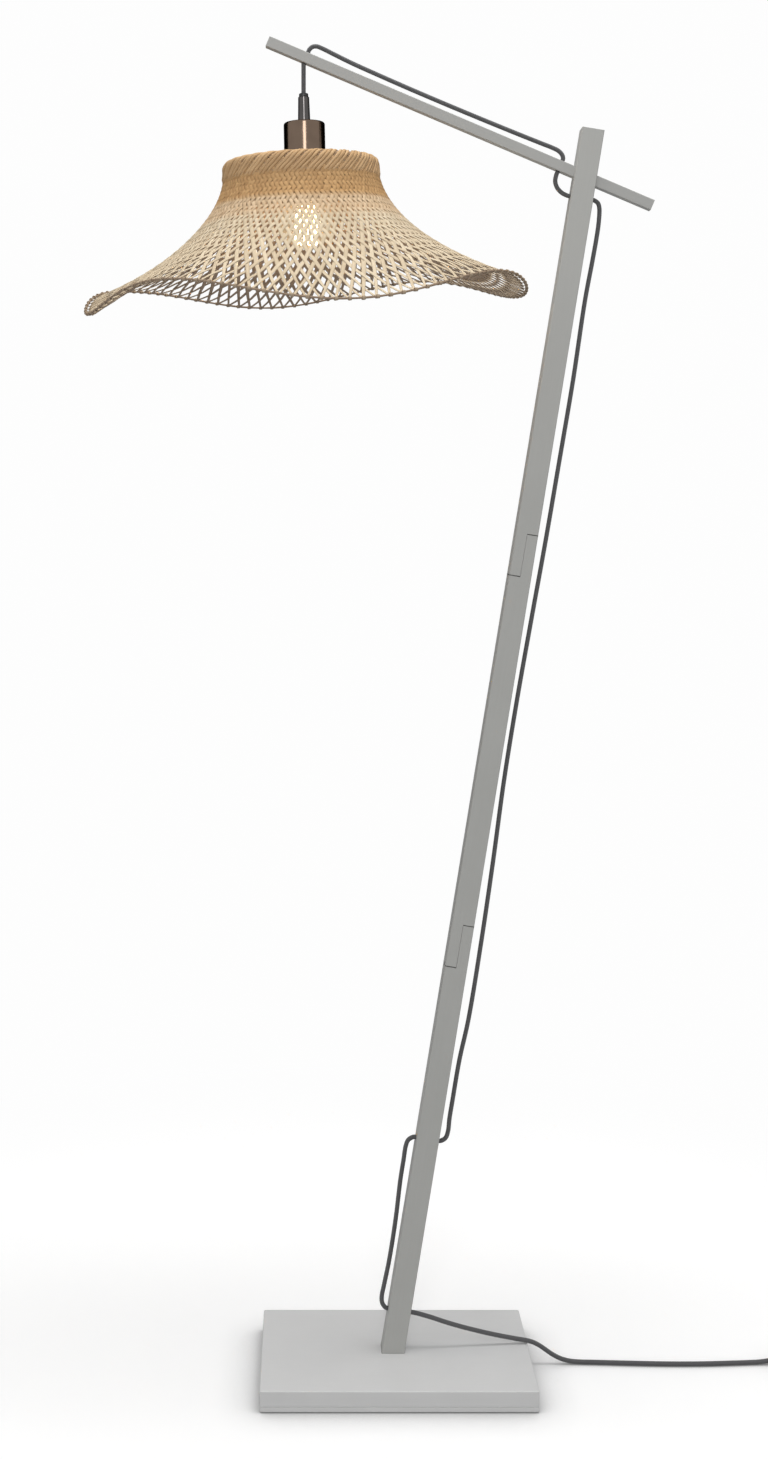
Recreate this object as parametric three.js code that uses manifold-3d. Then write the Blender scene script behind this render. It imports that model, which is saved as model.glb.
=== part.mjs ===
// A floor lamp: a slab base, a square post that leans and is spliced from three lengths, and a thin
// boom that goes through the post. A bell-shaped woven shade hangs from the boom on the lamp's own
// cord, which is threaded through the boom and the post and runs over the base to the floor.
//
// Millimetres, +Z up, +X to the side that the post leans to, -Y to the front.
// The origin is the centre of the base's underside.

import * as THREE from 'three';
import { mergeVertices } from 'three/addons/utils/BufferGeometryUtils.js';
import Module from 'manifold-3d';

const wasm = await Module();
wasm.setup();

const degrees = Math.PI / 180;

// Clearances and cutters
const seatGap = 0.3;
const cutOverrun = 4;

// Base
const baseWidth = 300;
const baseDepth = 200;
const baseCornerRadius = 2;
const baseEdgeBevel = 0.8;
const padThickness = 1.2;
const padInset = 4;
const weightThickness = 5;
const slabThickness = 17.2;
const baseScrewInset = 24;
const baseScrew = { headRadius: 4.5, headDepth: 2.6, shankRadius: 2.4, length: 15 };

// Post
const postSide = 25;
const postEdgeChamfer = 0.9;
const postLean = 9.3 * degrees;
const postFootX = -3;
const postLength = 1388;
const lowerSpliceHeight = 461;
const upperSpliceHeight = 904;
const spliceLap = 48;
const spliceScrewPitch = 24;
const spliceScrew = { headRadius: 3.6, headDepth: 2.2, shankRadius: 1.9, length: 20 };
const footScrewPitch = 12;
const footScrew = { headRadius: 5, headDepth: 3, shankRadius: 2.5, length: 44 };

// Boom
const boomSide = 12;
const boomEdgeChamfer = 0.6;
const boomDrop = 23.07 * degrees;
const boomHeightOnPost = 1335;
const boomReach = 387;
const boomTail = 82.5;
const boomScrew = { headRadius: 3.6, headDepth: 2.2, shankRadius: 1.9, length: 16.5 };

// Cord, and the holes that it is threaded through
const cordDiameter = 5;
const cordHoleClearance = 0.75;
const pendantHoleReach = 340.7;
const returnHoleReach = 30;
const topHoleHeight = 1311;
const middleHoleHeight = 239;
const lowHoleHeight = 44;
const dropLength = 34.1;
const flexGap = 0.8;
const cordSides = 8;
const stepsPerSpan = 2;

// Cord grip and lampholder cup
const pendantTilt = -1.2 * degrees;
const neckRadius = 5.2;
const neckHeight = 3.6;
const neckBoreDepth = 2.8;
const neckBoreClearance = 0.4;
const gripTopRadius = 6.2;
const gripFootRadius = 6.9;
const gripHeight = 29.3;
const gripChamfer = 2.4;
const nippleRadius = 4.9;
const nippleBoreRadius = 3;
const nippleHeight = 20;
const nippleInGrip = 12;
const nutAcrossFlats = 14;
const nutThickness = 4;
const cupRadius = 23.25;
const cupHeight = 41.5;
const cupWall = 1.2;
const cupEdgeRadius = 2.2;

// Lampholder
const holderRadius = 19.7;
const holderShoulderRadius = 16;
const holderShoulderHeight = 9;
const holderBelowCrown = 27;
const socketRadius = 14.2;
const socketRoofHeight = 7;
const shellWall = 0.5;
const shellHeight = 25;
const contactWidth = 6;
const contactLength = 17;
const contactThickness = 0.8;
const contactStep = 2.4;
const shadeRingRadius = 28.5;
const shadeRingHeight = 8;
const shadeRingWall = 2.5;
const shadeRingClearance = 0.5;

// Bulb
const bulbCapRadius = 13.1;
const bulbCapHeight = 22;
const bulbCapWall = 1;
const bulbTipRadius = 5;
const bulbTipHeight = 2.6;
const bulbTipLift = 1.2;
const glassRadius = 30;
const glassNeckRadius = 12.6;
const glassHeight = 79;
const glassArc = 118 * degrees;
const glassWall = 1;
const stemRadius = 3.2;
const stemHeight = 44;
const filamentRadius = 1;
const filamentLength = 32;
const filamentSpread = 9;
const filamentCount = 4;
const armRadius = 0.7;

// Woven shade
const shadeWall = 2.6;
const crownRadius = 79.5;
const shoulderRadius = 8;
const shadeHeight = 149;
const brimRadius = 249;
const hoopRadius = 2;
const crownHoleClearance = 0.8;
const shadeOffset = 5;
const shadeSideTilt = -1.1 * degrees;
const shadeFrontTilt = 1.5 * degrees;
const brimDroop = 15;
const brimWave = 12.7;
const brimLobes = 4;
const brimWavePhase = 137 * degrees;
const flarePower = 2.05;
const wavePower = 1.3;
const latticeColumns = 24;
const latticeRows = 5;
const latticeBarWidth = 9;
const latticeTopShare = 0.4;
const latticeFootShare = 0.965;
const centreRingRadius = 34;
const centreRingThickness = 5;

// Inline switch
const switchX = 471;
const switchY = 12.2;
const switchLength = 62;
const switchWidth = 26;
const switchFloorHeight = 7;
const switchCoverHeight = 9;
const switchCornerRadius = 9;
const switchBevel = 2;
const switchCordDepth = 9;
const rockerLength = 19.2;
const rockerWidth = 13.4;
const rockerPivotHeight = 12.4;
const rockerTopRise = 4.6;
const rockerDip = 1.6;
const rockerBelly = 3.6;
const rockerTilt = 7 * degrees;
const axleRadius = 1.3;
const axleReach = 2.2;
const switchScrewInset = 9;
const switchScrew = { headRadius: 2.6, headDepth: 1.5, shankRadius: 1.3, length: 11 };

// Plug
const plugLength = 34;
const plugWidth = 35;
const plugThickness = 13.7;
const plugBevel = 1.6;
const plugCordEndWidth = 13;
const plugFaceWidth = 30;
const plugPinRadius = 2;
const plugPinLength = 19;
const plugPinSocket = 6;
const plugPinPitch = 18.6;
const bootLength = 24;
const bootRootRadius = 5.2;
const bootTipRadius = 3.7;
const bootCordDepth = 12;
const plugLeadSpan = 35;

// Stored cord
const coilInnerRadius = 19;
const coilPitch = 5.5;
const coilTurns = 7.25;
const coilClimbTurns = 0.5;
const coilStartTurn = 0.25;
const coilSteps = 24;
const coilSides = 6;
const coilX = 546;
const floorLift = 0.1;

// Sizes that follow from those above
const baseHeight = padThickness + weightThickness + slabThickness;
const postHalf = postSide / 2;
const boomHalf = boomSide / 2;
const cordRadius = cordDiameter / 2;
const cordHoleRadius = cordRadius + cordHoleClearance;
const cordOnFloor = cordRadius + floorLift;
const gripFoot = neckHeight + gripHeight;
const crownDepth = gripFoot + cupHeight + 2 * seatGap;
const crownLean = Math.sin(Math.hypot(shadeSideTilt, shadeFrontTilt));
const sideDepth = shadeHeight - shoulderRadius;
const wovenRadius = brimRadius - 2 * hoopRadius - seatGap;
const stemFlareRadius = glassNeckRadius - glassWall - seatGap;
const coilOuterRadius = coilInnerRadius + coilPitch * coilTurns / 2;
const coilY = switchY + coilOuterRadius;
const plugX = coilX + coilOuterRadius;
const plugY = coilY + plugLeadSpan;

// The lamp cord's route from the boom's outer hole to the post's lowest hole
const lampCordRoute = [
  [-102.5, 0, 1470.1], [-98.4, 0, 1479.9], [-96.8, 0, 1483.6], [-93.3, 0, 1487], [-88.2, 0, 1487.6],
  [-82, 0, 1485.3], [-69, 0.4, 1478.9], [-48.6, 1, 1469], [-12.1, 1.4, 1452.7], [24.5, 1, 1436.6],
  [61.3, 0.2, 1420.8], [98.1, -0.6, 1405.3], [135.1, -1, 1390.1], [163, -0.6, 1379], [176.4, -0.2, 1373.8],
  [183.6, 0, 1370.2], [187.9, 0, 1365.3], [188.7, 0, 1361.1], [187.5, 0, 1358.1], [182.8, 0, 1347.1],
  [181.2, 0, 1343.4], [179.9, 0, 1336], [182, 0, 1328.9], [187, 0, 1323.3], [193.4, 0, 1319.9],
  [196.5, 0, 1319.2], [221.2, 0, 1315.1], [224, 0, 1314.4], [228, 0, 1311.2], [229.5, 0, 1305.6],
  [228.9, 0.4, 1290], [226.4, 0.8, 1272], [222.1, 1.2, 1247.5], [213.7, 1.6, 1202.5], [200.2, 1.4, 1112.6],
  [184.8, 0.6, 1022.6], [169.2, -0.4, 932.6], [152.8, -1, 842.7], [136.8, -0.8, 752.7], [122.4, 0, 662.8],
  [110.3, 0.8, 572.8], [97.2, 1.4, 482.8], [82.4, 1.6, 392.9], [72.3, 1.2, 347.9], [64.5, 0.6, 302.9],
  [61, 0.2, 282], [59.3, 0, 267.6], [56.6, 0, 260.4], [51.2, 0, 257.1], [48, 0, 257.2],
  [23.3, 0, 261.3], [20, 0, 261.3], [14.6, 0, 258], [11.9, 0, 251.6], [9.4, 0.2, 236],
  [5.8, 0.6, 213], [0.4, 1, 168.1], [-6.7, 0.8, 123.1], [-12.4, 0.2, 96], [-15.2, 0, 82],
  [-14.6, 0, 74.8], [-11.2, 0, 69.9], [-8.2, 0, 68.8], [3.9, 0, 66.9],
];

// The cord's route from the post's lowest hole over the base to the switch
const floorCordRoute = [
  [4.3, 0, 66.8], [16.5, 0, 64.8], [24, 0.2, 63.2], [40, 1.4, 58.2], [57, 3.2, 51.8],
  [74, 5.2, 46], [91, 7.2, 40.8], [108, 9.2, 36], [125, 10.8, 31.9], [140, 12, 28.7],
  [150, 12.6, 26.7], [157, 12.9, 24.5], [164, 13.1, 20.8], [171, 13.2, 16], [178.5, 13.3, 10.8],
  [187, 13.2, 6.5], [197, 13, 3.7], [209, 12.6, 2.7], [224, 12, 2.6], [246, 10.8, 2.6],
  [272, 9.4, 2.6], [300, 8.2, 2.6], [328, 7.8, 2.6], [354, 8.4, 2.6], [378, 9.8, 2.6],
  [398, 11.2, 2.6], [412, 11.9, 2.9], [423, 12.2, 4.2], [432, 12.2, 6], [440, 12.2, 6.9],
  [448.7, 12.2, 7],
];

// The short lead from the switch to the coil
const switchLeadRoute = [
  [493.3, 12.2, 7], [502, 12.2, 6.9], [510, 12.2, 6], [519, 12.2, 4.3], [528, 12.2, 3.1],
  [537, 12.2, 2.65], [545.7, 12.2, 2.6],
];

// Materials
const finish = (color, roughness, metalness = 0) =>
  new THREE.MeshStandardMaterial({ color, roughness, metalness });
const greyPaint = finish(0xaeadaa, 0.6);
const feltPad = finish(0x2b2b2c, 0.95);
const steel = finish(0xb9bbbd, 0.35, 1);
const darkChrome = finish(0x77777a, 0.15, 1);
const bronze = finish(0x735f50, 0.35, 0.9);
const blackPlastic = finish(0x161616, 0.45);
const glossBlack = finish(0x101011, 0.25);
const brass = finish(0xb8924a, 0.3, 1);
const bareAluminium = finish(0xc6c7c9, 0.35, 1);
const woven = finish(0xcfa878, 0.7);
const turnedWood = finish(0xb98d5d, 0.65);
const cordCloth = finish(0x3e3f41, 0.9);
const glass = finish(0xffe9c8, 0.05);
glass.transparent = true;
glass.opacity = 0.4;
const filamentGlow = finish(0xffc36b, 0.5);

// Turns every triangle of a closed geometry to face out.
function facingOut(geometry) {
  const bare = new THREE.BufferGeometry();
  bare.setAttribute('position', geometry.getAttribute('position').clone());
  if (geometry.index) bare.setIndex(geometry.index.clone());
  const merged = mergeVertices(bare, 1e-4);
  const p = merged.getAttribute('position');
  const index = merged.index.array;
  const a = new THREE.Vector3();
  const b = new THREE.Vector3();
  const c = new THREE.Vector3();
  let volume = 0;
  const kept = [];
  for (let i = 0; i < index.length; i += 3) {
    const [u, v, w] = index.slice(i, i + 3);
    if (u === v || v === w || u === w) continue;
    a.fromBufferAttribute(p, u);
    b.fromBufferAttribute(p, v);
    c.fromBufferAttribute(p, w);
    volume += a.dot(b.cross(c));
    kept.push(u, v, w);
  }
  if (volume < 0) for (let i = 0; i < kept.length; i += 3) [kept[i], kept[i + 1]] = [kept[i + 1], kept[i]];
  merged.setIndex(kept);
  return merged;
}

// A closed geometry as a solid that can be joined and cut.
function solid(geometry) {
  const closed = facingOut(geometry);
  return new wasm.Manifold(new wasm.Mesh({
    numProp: 3,
    vertProperties: new Float32Array(closed.getAttribute('position').array),
    triVerts: new Uint32Array(closed.index.array),
  }));
}

function geometryOf(manifold) {
  const mesh = manifold.getMesh();
  const geometry = new THREE.BufferGeometry();
  geometry.setAttribute('position', new THREE.BufferAttribute(new Float32Array(mesh.vertProperties), 3));
  geometry.setIndex(new THREE.BufferAttribute(new Uint32Array(mesh.triVerts), 1));
  return geometry;
}

function cut(geometry, tools) {
  return geometryOf(tools.reduce((rest, tool) => rest.subtract(solid(tool)), solid(geometry)));
}

function join(geometries) {
  return geometryOf(geometries.slice(1).reduce((sum, next) => sum.add(solid(next)), solid(geometries[0])));
}

// A box between two corners.
function block(low, high) {
  const size = high.map((value, i) => value - low[i]);
  const box = new THREE.BoxGeometry(...size);
  return box.translate(...low.map((value, i) => value + size[i] / 2));
}

// A rod along +Z that stands on z = from.
function rod(radius, from, to, sides = 12) {
  const cylinder = new THREE.CylinderGeometry(radius, radius, to - from, sides);
  return cylinder.rotateX(Math.PI / 2).translate(0, 0, (from + to) / 2);
}

// A profile of [radius, z] points turned about +Z.
function turned(profile, segments = 32) {
  const points = profile.map(([radius, z]) => new THREE.Vector2(radius, z));
  return new THREE.LatheGeometry(points, segments).rotateX(Math.PI / 2);
}

// A ring with a plain bore.
function ring(outerRadius, innerRadius, from, to, segments = 32) {
  return turned([
    [innerRadius, from], [outerRadius, from], [outerRadius, to], [innerRadius, to], [innerRadius, from],
  ], segments);
}

// A quarter turn of points from one radius and height to the next, for rounded edges.
function roundedEdge(radius, z, edge, steps = 3) {
  const points = [];
  for (let i = 0; i <= steps; i += 1) {
    const angle = (i / steps) * Math.PI / 2;
    points.push([radius - edge + edge * Math.cos(angle), z - edge + edge * Math.sin(angle)]);
  }
  return points;
}

function roundedRectangle(width, depth, radius) {
  const x = width / 2;
  const y = depth / 2;
  const shape = new THREE.Shape();
  shape.moveTo(-x + radius, -y);
  shape.lineTo(x - radius, -y);
  shape.absarc(x - radius, -y + radius, radius, -Math.PI / 2, 0);
  shape.lineTo(x, y - radius);
  shape.absarc(x - radius, y - radius, radius, 0, Math.PI / 2);
  shape.lineTo(-x + radius, y);
  shape.absarc(-x + radius, y - radius, radius, Math.PI / 2, Math.PI);
  shape.lineTo(-x, -y + radius);
  shape.absarc(-x + radius, -y + radius, radius, Math.PI, 1.5 * Math.PI);
  return shape;
}

// A flat outline raised from z = from to z = to, with its top and bottom edges bevelled.
function slab(shape, from, to, bevel, curveSegments = 3) {
  const geometry = new THREE.ExtrudeGeometry(shape, {
    depth: to - from - 2 * bevel,
    bevelEnabled: bevel > 0,
    bevelThickness: bevel,
    bevelSize: bevel,
    bevelOffset: -bevel,
    bevelSegments: 1,
    curveSegments,
  });
  return geometry.translate(0, 0, from + bevel);
}

// A square bar along +Z with its long edges chamfered.
function squareBar(side, chamfer, from, to) {
  const half = side / 2;
  const near = half - chamfer;
  const shape = new THREE.Shape([
    [near, -half], [half, -near], [half, near], [near, half],
    [-near, half], [-half, near], [-half, -near], [-near, -half],
  ].map(([x, y]) => new THREE.Vector2(x, y)));
  const bar = new THREE.ExtrudeGeometry(shape, { depth: to - from, bevelEnabled: false });
  return bar.translate(0, 0, from);
}

// A countersunk screw whose head is flush with z = 0 and whose shank runs down.
// Grown, it cuts its own hole.
function screw(size, grow = 0, overrun = 0, sides = 10) {
  const shank = size.shankRadius + grow;
  const head = size.headRadius + grow;
  const profile = [[0, -size.length - grow], [shank, -size.length + size.shankRadius]];
  profile.push([shank, -size.headDepth], [head, 0]);
  if (overrun > 0) profile.push([head, overrun]);
  profile.push([0, overrun]);
  return turned(profile, sides);
}

// A path that steps evenly between its points, so that close points give fine steps.
class ThreadedPath extends THREE.CatmullRomCurve3 {
  getPointAt(share, target) {
    return this.getPoint(share, target);
  }

  getTangentAt(share, target) {
    return this.getTangent(share, target);
  }
}

function cordAlong(route) {
  const path = new ThreadedPath(route.map((point) => new THREE.Vector3(...point)), false, 'centripetal');
  const section = new THREE.Shape();
  for (let i = 0; i < cordSides; i += 1) {
    const angle = ((i + 0.5) / cordSides) * 2 * Math.PI;
    const [x, y] = [cordRadius * Math.cos(angle), cordRadius * Math.sin(angle)];
    if (i === 0) section.moveTo(x, y);
    else section.lineTo(x, y);
  }
  section.closePath();
  return new THREE.ExtrudeGeometry(section, {
    extrudePath: path,
    steps: (route.length - 1) * stepsPerSpan,
    bevelEnabled: false,
  });
}

// A closed body from rings of points. Each ring is closed, and the last one joins the first.
function loft(rings) {
  const positions = rings.flat(2);
  const index = [];
  const rows = rings.length;
  const count = rings[0].length;
  for (let i = 0; i < rows; i += 1) {
    for (let j = 0; j < count; j += 1) {
      const a = i * count + j;
      const b = i * count + ((j + 1) % count);
      const c = ((i + 1) % rows) * count + j;
      const d = ((i + 1) % rows) * count + ((j + 1) % count);
      index.push(a, b, d, a, d, c);
    }
  }
  const geometry = new THREE.BufferGeometry();
  geometry.setAttribute('position', new THREE.Float32BufferAttribute(positions, 3));
  geometry.setIndex(index);
  return facingOut(geometry);
}

// A closed sheet of the given thickness from polygons that share corners. A corner is a function from
// the depth below the outer face to a point. Edges that only one polygon has get a wall.
function sheet(polygons, thickness) {
  const numbers = new Map();
  const positions = [];
  const numberOf = (corner) => {
    if (!numbers.has(corner)) {
      numbers.set(corner, positions.length / 3);
      positions.push(...corner(0), ...corner(thickness));
    }
    return numbers.get(corner);
  };
  const index = [];
  const edges = new Map();
  for (const polygon of polygons) {
    const face = polygon.map(numberOf);
    for (let i = 1; i + 1 < face.length; i += 1) {
      index.push(face[0], face[i], face[i + 1]);
      index.push(face[0] + 1, face[i + 1] + 1, face[i] + 1);
    }
    face.forEach((from, i) => {
      const to = face[(i + 1) % face.length];
      edges.set(`${from} ${to}`, [from, to]);
    });
  }
  for (const [from, to] of edges.values()) {
    if (!edges.has(`${to} ${from}`)) index.push(to, from, from + 1, to, from + 1, to + 1);
  }
  const geometry = new THREE.BufferGeometry();
  geometry.setAttribute('position', new THREE.Float32BufferAttribute(positions, 3));
  geometry.setIndex(index);
  return facingOut(geometry);
}

// Frames: where the post, the boom and the hanging pieces stand
const postFrame = new THREE.Matrix4().makeRotationY(postLean).setPosition(postFootX, 0, baseHeight);
const crossing = new THREE.Vector3(0, 0, boomHeightOnPost).applyMatrix4(postFrame);
const boomFrame = new THREE.Matrix4().makeRotationY(boomDrop).setPosition(crossing);
const hangingPoint = new THREE.Vector3(-pendantHoleReach, 0, -boomHalf).applyMatrix4(boomFrame);
const pendantFrame = new THREE.Matrix4().makeRotationY(pendantTilt)
  .setPosition(hangingPoint.x, 0, hangingPoint.z - dropLength);
const shadeFrame = new THREE.Matrix4()
  .makeRotationFromEuler(new THREE.Euler(shadeFrontTilt, shadeSideTilt, 0))
  .setPosition(-shadeOffset, 0, -crownDepth - cupRadius * crownLean);

const inverse = (matrix) => matrix.clone().invert();
const intoPost = inverse(postFrame);

const lamp = new THREE.Group();

function group(matrix, parent = lamp) {
  const result = new THREE.Group();
  result.applyMatrix4(matrix);
  parent.add(result);
  return result;
}

function add(parent, name, geometry, material) {
  const mesh = new THREE.Mesh(facingOut(geometry), material);
  mesh.name = name;
  parent.add(mesh);
  return mesh;
}

// Base: a felt pad, a steel weight plate and a painted slab with a socket for the post
const footFloor = padThickness + weightThickness;

function postSocket() {
  return squareBar(postSide + 2 * seatGap, postEdgeChamfer, -slabThickness - cutOverrun, cutOverrun)
    .applyMatrix4(postFrame);
}

function screwsUp(size, places, grow, overrun) {
  return places.map(([x, y]) => screw(size, grow, overrun).rotateX(Math.PI).translate(x, y, padThickness));
}

const screwX = baseWidth / 2 - baseScrewInset;
const screwY = baseDepth / 2 - baseScrewInset;
const baseScrewPlaces = [[-screwX, -screwY], [screwX, -screwY], [screwX, screwY], [-screwX, screwY]];
const footScrewX = postFootX;
const footScrewPlaces = [[footScrewX, -footScrewPitch / 2], [footScrewX, footScrewPitch / 2]];

function base() {
  const pad = roundedRectangle(baseWidth - 2 * padInset, baseDepth - 2 * padInset, baseCornerRadius);
  add(lamp, 'base_pad', slab(pad, 0, padThickness, 0), feltPad);
  const outline = roundedRectangle(baseWidth, baseDepth, baseCornerRadius);
  const baseScrewHoles = screwsUp(baseScrew, baseScrewPlaces, seatGap, cutOverrun);
  const footScrewHoles = screwsUp(footScrew, footScrewPlaces, seatGap, cutOverrun);
  const weight = slab(outline, padThickness, footFloor, baseEdgeBevel / 2);
  add(lamp, 'base_weight', cut(weight, [...baseScrewHoles, ...footScrewHoles]), greyPaint);
  const top = slab(outline, footFloor, baseHeight, baseEdgeBevel);
  add(lamp, 'base_slab', cut(top, [postSocket(), ...baseScrewHoles]), greyPaint);
  screwsUp(baseScrew, baseScrewPlaces, 0, 0).forEach((geometry, i) => {
    add(lamp, `base_screw_${i + 1}`, geometry, steel);
  });
  screwsUp(footScrew, footScrewPlaces, 0, 0).forEach((geometry, i) => {
    add(lamp, `foot_screw_${i + 1}`, geometry, steel);
  });
}

// Post: three lengths of square bar, half-lapped into each other and screwed through the laps
function halfLap(side, from, to) {
  const edge = seatGap / 2;
  const reach = postHalf + cutOverrun;
  const [low, high] = side > 0 ? [-edge, reach] : [-reach, edge];
  return block([low, -reach, from], [high, reach, to]);
}

function cordHole(height) {
  return rod(cordHoleRadius, -postHalf - cutOverrun, postHalf + cutOverrun, 16)
    .rotateY(Math.PI / 2).translate(0, 0, height);
}

function spliceScrews(height, grow = 0, overrun = 0) {
  return [-spliceScrewPitch / 2, spliceScrewPitch / 2].map((step) =>
    screw(spliceScrew, grow, overrun).rotateY(Math.PI / 2).translate(postHalf, 0, height + step));
}

function boomScrewAt(grow = 0, overrun = 0) {
  return screw(boomScrew, grow, overrun).rotateX(-Math.PI / 2).translate(0, postHalf, boomHeightOnPost);
}

function post() {
  const frame = group(postFrame);
  const lap = spliceLap / 2;
  const lowerScrewHoles = spliceScrews(lowerSpliceHeight, seatGap, cutOverrun);
  const upperScrewHoles = spliceScrews(upperSpliceHeight, seatGap, cutOverrun);

  const sink = slabThickness + postSide;
  const lower = squareBar(postSide, postEdgeChamfer, -sink, lowerSpliceHeight + lap);
  const reach = postSide + sink;
  const belowFoot = block([-reach, -reach, -reach], [reach, reach, footFloor + seatGap])
    .applyMatrix4(intoPost);
  const footHoles = screwsUp(footScrew, footScrewPlaces, seatGap, 0)
    .map((hole) => hole.applyMatrix4(intoPost));
  add(frame, 'post_lower', cut(lower, [
    belowFoot, ...footHoles, cordHole(lowHoleHeight), cordHole(middleHoleHeight),
    halfLap(-1, lowerSpliceHeight - lap, lowerSpliceHeight + lap + cutOverrun), ...lowerScrewHoles,
  ]), greyPaint);

  const middleFoot = lowerSpliceHeight - lap + seatGap;
  const middle = squareBar(postSide, postEdgeChamfer, middleFoot, upperSpliceHeight + lap);
  add(frame, 'post_middle', cut(middle, [
    halfLap(1, lowerSpliceHeight - lap - cutOverrun, lowerSpliceHeight + lap + seatGap),
    halfLap(-1, upperSpliceHeight - lap, upperSpliceHeight + lap + cutOverrun),
    ...lowerScrewHoles, ...upperScrewHoles,
  ]), greyPaint);

  const upper = squareBar(postSide, postEdgeChamfer, upperSpliceHeight - lap + seatGap, postLength);
  const mortise = squareBar(boomSide + 2 * seatGap, boomEdgeChamfer, -postSide, postSide)
    .rotateY(Math.PI / 2).applyMatrix4(boomFrame).applyMatrix4(intoPost);
  add(frame, 'post_upper', cut(upper, [
    halfLap(1, upperSpliceHeight - lap - cutOverrun, upperSpliceHeight + lap + seatGap),
    mortise, cordHole(topHoleHeight), boomScrewAt(seatGap, cutOverrun), ...upperScrewHoles,
  ]), greyPaint);

  spliceScrews(lowerSpliceHeight).forEach((geometry, i) => {
    add(frame, `lower_splice_screw_${i + 1}`, geometry, greyPaint);
  });
  spliceScrews(upperSpliceHeight).forEach((geometry, i) => {
    add(frame, `upper_splice_screw_${i + 1}`, geometry, greyPaint);
  });
  add(frame, 'boom_screw', boomScrewAt(), greyPaint);
}

// Boom: a thin square bar through the post, with a cord hole at each end of its long arm
function boom() {
  const frame = group(boomFrame);
  const bar = squareBar(boomSide, boomEdgeChamfer, -boomReach, boomTail)
    .rotateZ(Math.PI).rotateY(Math.PI / 2);
  const hole = (reach) => rod(cordHoleRadius, -boomSide, boomSide, 16).translate(-reach, 0, 0);
  const screwHole = boomScrewAt(seatGap, cutOverrun)
    .applyMatrix4(postFrame).applyMatrix4(inverse(boomFrame));
  add(frame, 'boom', cut(bar, [hole(pendantHoleReach), hole(returnHoleReach), screwHole]), greyPaint);
}

// Drop: the two short lengths of cord between the boom and the cord grip
function drop() {
  const frame = group(new THREE.Matrix4().setPosition(hangingPoint));
  const top = -flexGap / 2;
  const foot = -dropLength - neckBoreDepth + flexGap;
  const middle = (top + foot) / 2;
  add(frame, 'drop_cord_upper', rod(cordRadius, middle + flexGap / 2, top, cordSides), cordCloth);
  add(frame, 'drop_cord_lower', rod(cordRadius, foot, middle - flexGap / 2, cordSides), cordCloth);
}

// Pendant: its heights are measured down from the top of the neck
const pendant = group(pendantFrame);

function gripAndCup() {
  const boreRadius = cordRadius + neckBoreClearance;
  add(pendant, 'grip_neck', turned([
    [0, -neckHeight], [neckRadius, -neckHeight], ...roundedEdge(neckRadius, 0, neckHeight / 3),
    [boreRadius, 0], [boreRadius, -neckBoreDepth], [0, -neckBoreDepth],
  ], 24), blackPlastic);

  const top = -neckHeight - seatGap;
  const cupTop = -gripFoot - seatGap;
  const nippleTop = cupTop + nippleInGrip;
  const threadGap = nippleRadius + seatGap;
  const grip = turned([
    [0, top], [gripTopRadius - gripChamfer / 4, top], [gripTopRadius, top - gripChamfer / 4],
    [gripFootRadius, -gripFoot + gripChamfer], [gripFootRadius - gripChamfer, -gripFoot], [0, -gripFoot],
  ], 28);
  const threadWay = rod(threadGap, -gripFoot - cutOverrun, nippleTop + seatGap, 20);
  add(pendant, 'cord_grip', cut(grip, [threadWay]), darkChrome);

  const nippleFoot = nippleTop - nippleHeight;
  add(pendant, 'grip_nipple', ring(nippleRadius, nippleBoreRadius, nippleFoot, nippleTop, 20), steel);

  const rim = -crownDepth + seatGap;
  const cup = turned([
    [cupRadius - cupWall, rim], [cupRadius, rim], ...roundedEdge(cupRadius, cupTop, cupEdgeRadius),
    [threadGap, cupTop], [threadGap, cupTop - cupWall], [cupRadius - cupEdgeRadius, cupTop - cupWall],
    [cupRadius - cupWall, cupTop - cupEdgeRadius], [cupRadius - cupWall, rim],
  ], 32);
  add(pendant, 'lampholder_cup', cup, bronze);

  const nutTop = cupTop - cupWall - seatGap;
  const nutFoot = nutTop - nutThickness;
  const nut = rod(nutAcrossFlats / Math.sqrt(3), nutFoot, nutTop, 6);
  const nutBore = rod(threadGap, nutFoot - cutOverrun, nutTop + cutOverrun, 20);
  add(pendant, 'nipple_nut', cut(nut, [nutBore]), steel);
}

function lampholder() {
  const top = -gripFoot - seatGap - nippleHeight + nippleInGrip - seatGap;
  const foot = -crownDepth - holderBelowCrown;
  const roof = -crownDepth + socketRoofHeight;
  add(pendant, 'lampholder_body', turned([
    [0, roof], [socketRadius, roof], [socketRadius, foot], [holderRadius, foot],
    [holderRadius, top - holderShoulderHeight], [holderShoulderRadius, top], [0, top],
  ], 36), blackPlastic);

  const shellOuter = socketRadius - seatGap;
  const shellInner = shellOuter - shellWall;
  const shellTop = roof - contactStep - seatGap;
  add(pendant, 'socket_shell', ring(shellOuter, shellInner, shellTop - shellHeight, shellTop, 28), brass);

  const lip = roof - seatGap;
  const bend = contactLength / 2;
  const tab = new THREE.Shape([
    [-bend, 0], [bend / 2, 0], [bend, -contactStep],
    [bend / 2, -contactThickness], [-bend, -contactThickness],
  ].map(([x, y]) => new THREE.Vector2(x, y)));
  const contact = new THREE.ExtrudeGeometry(tab, { depth: contactWidth, bevelEnabled: false })
    .translate(0, 0, -contactWidth / 2).rotateX(Math.PI / 2).translate(-bend / 2, 0, lip);
  add(pendant, 'centre_contact', contact, brass);
}

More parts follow.
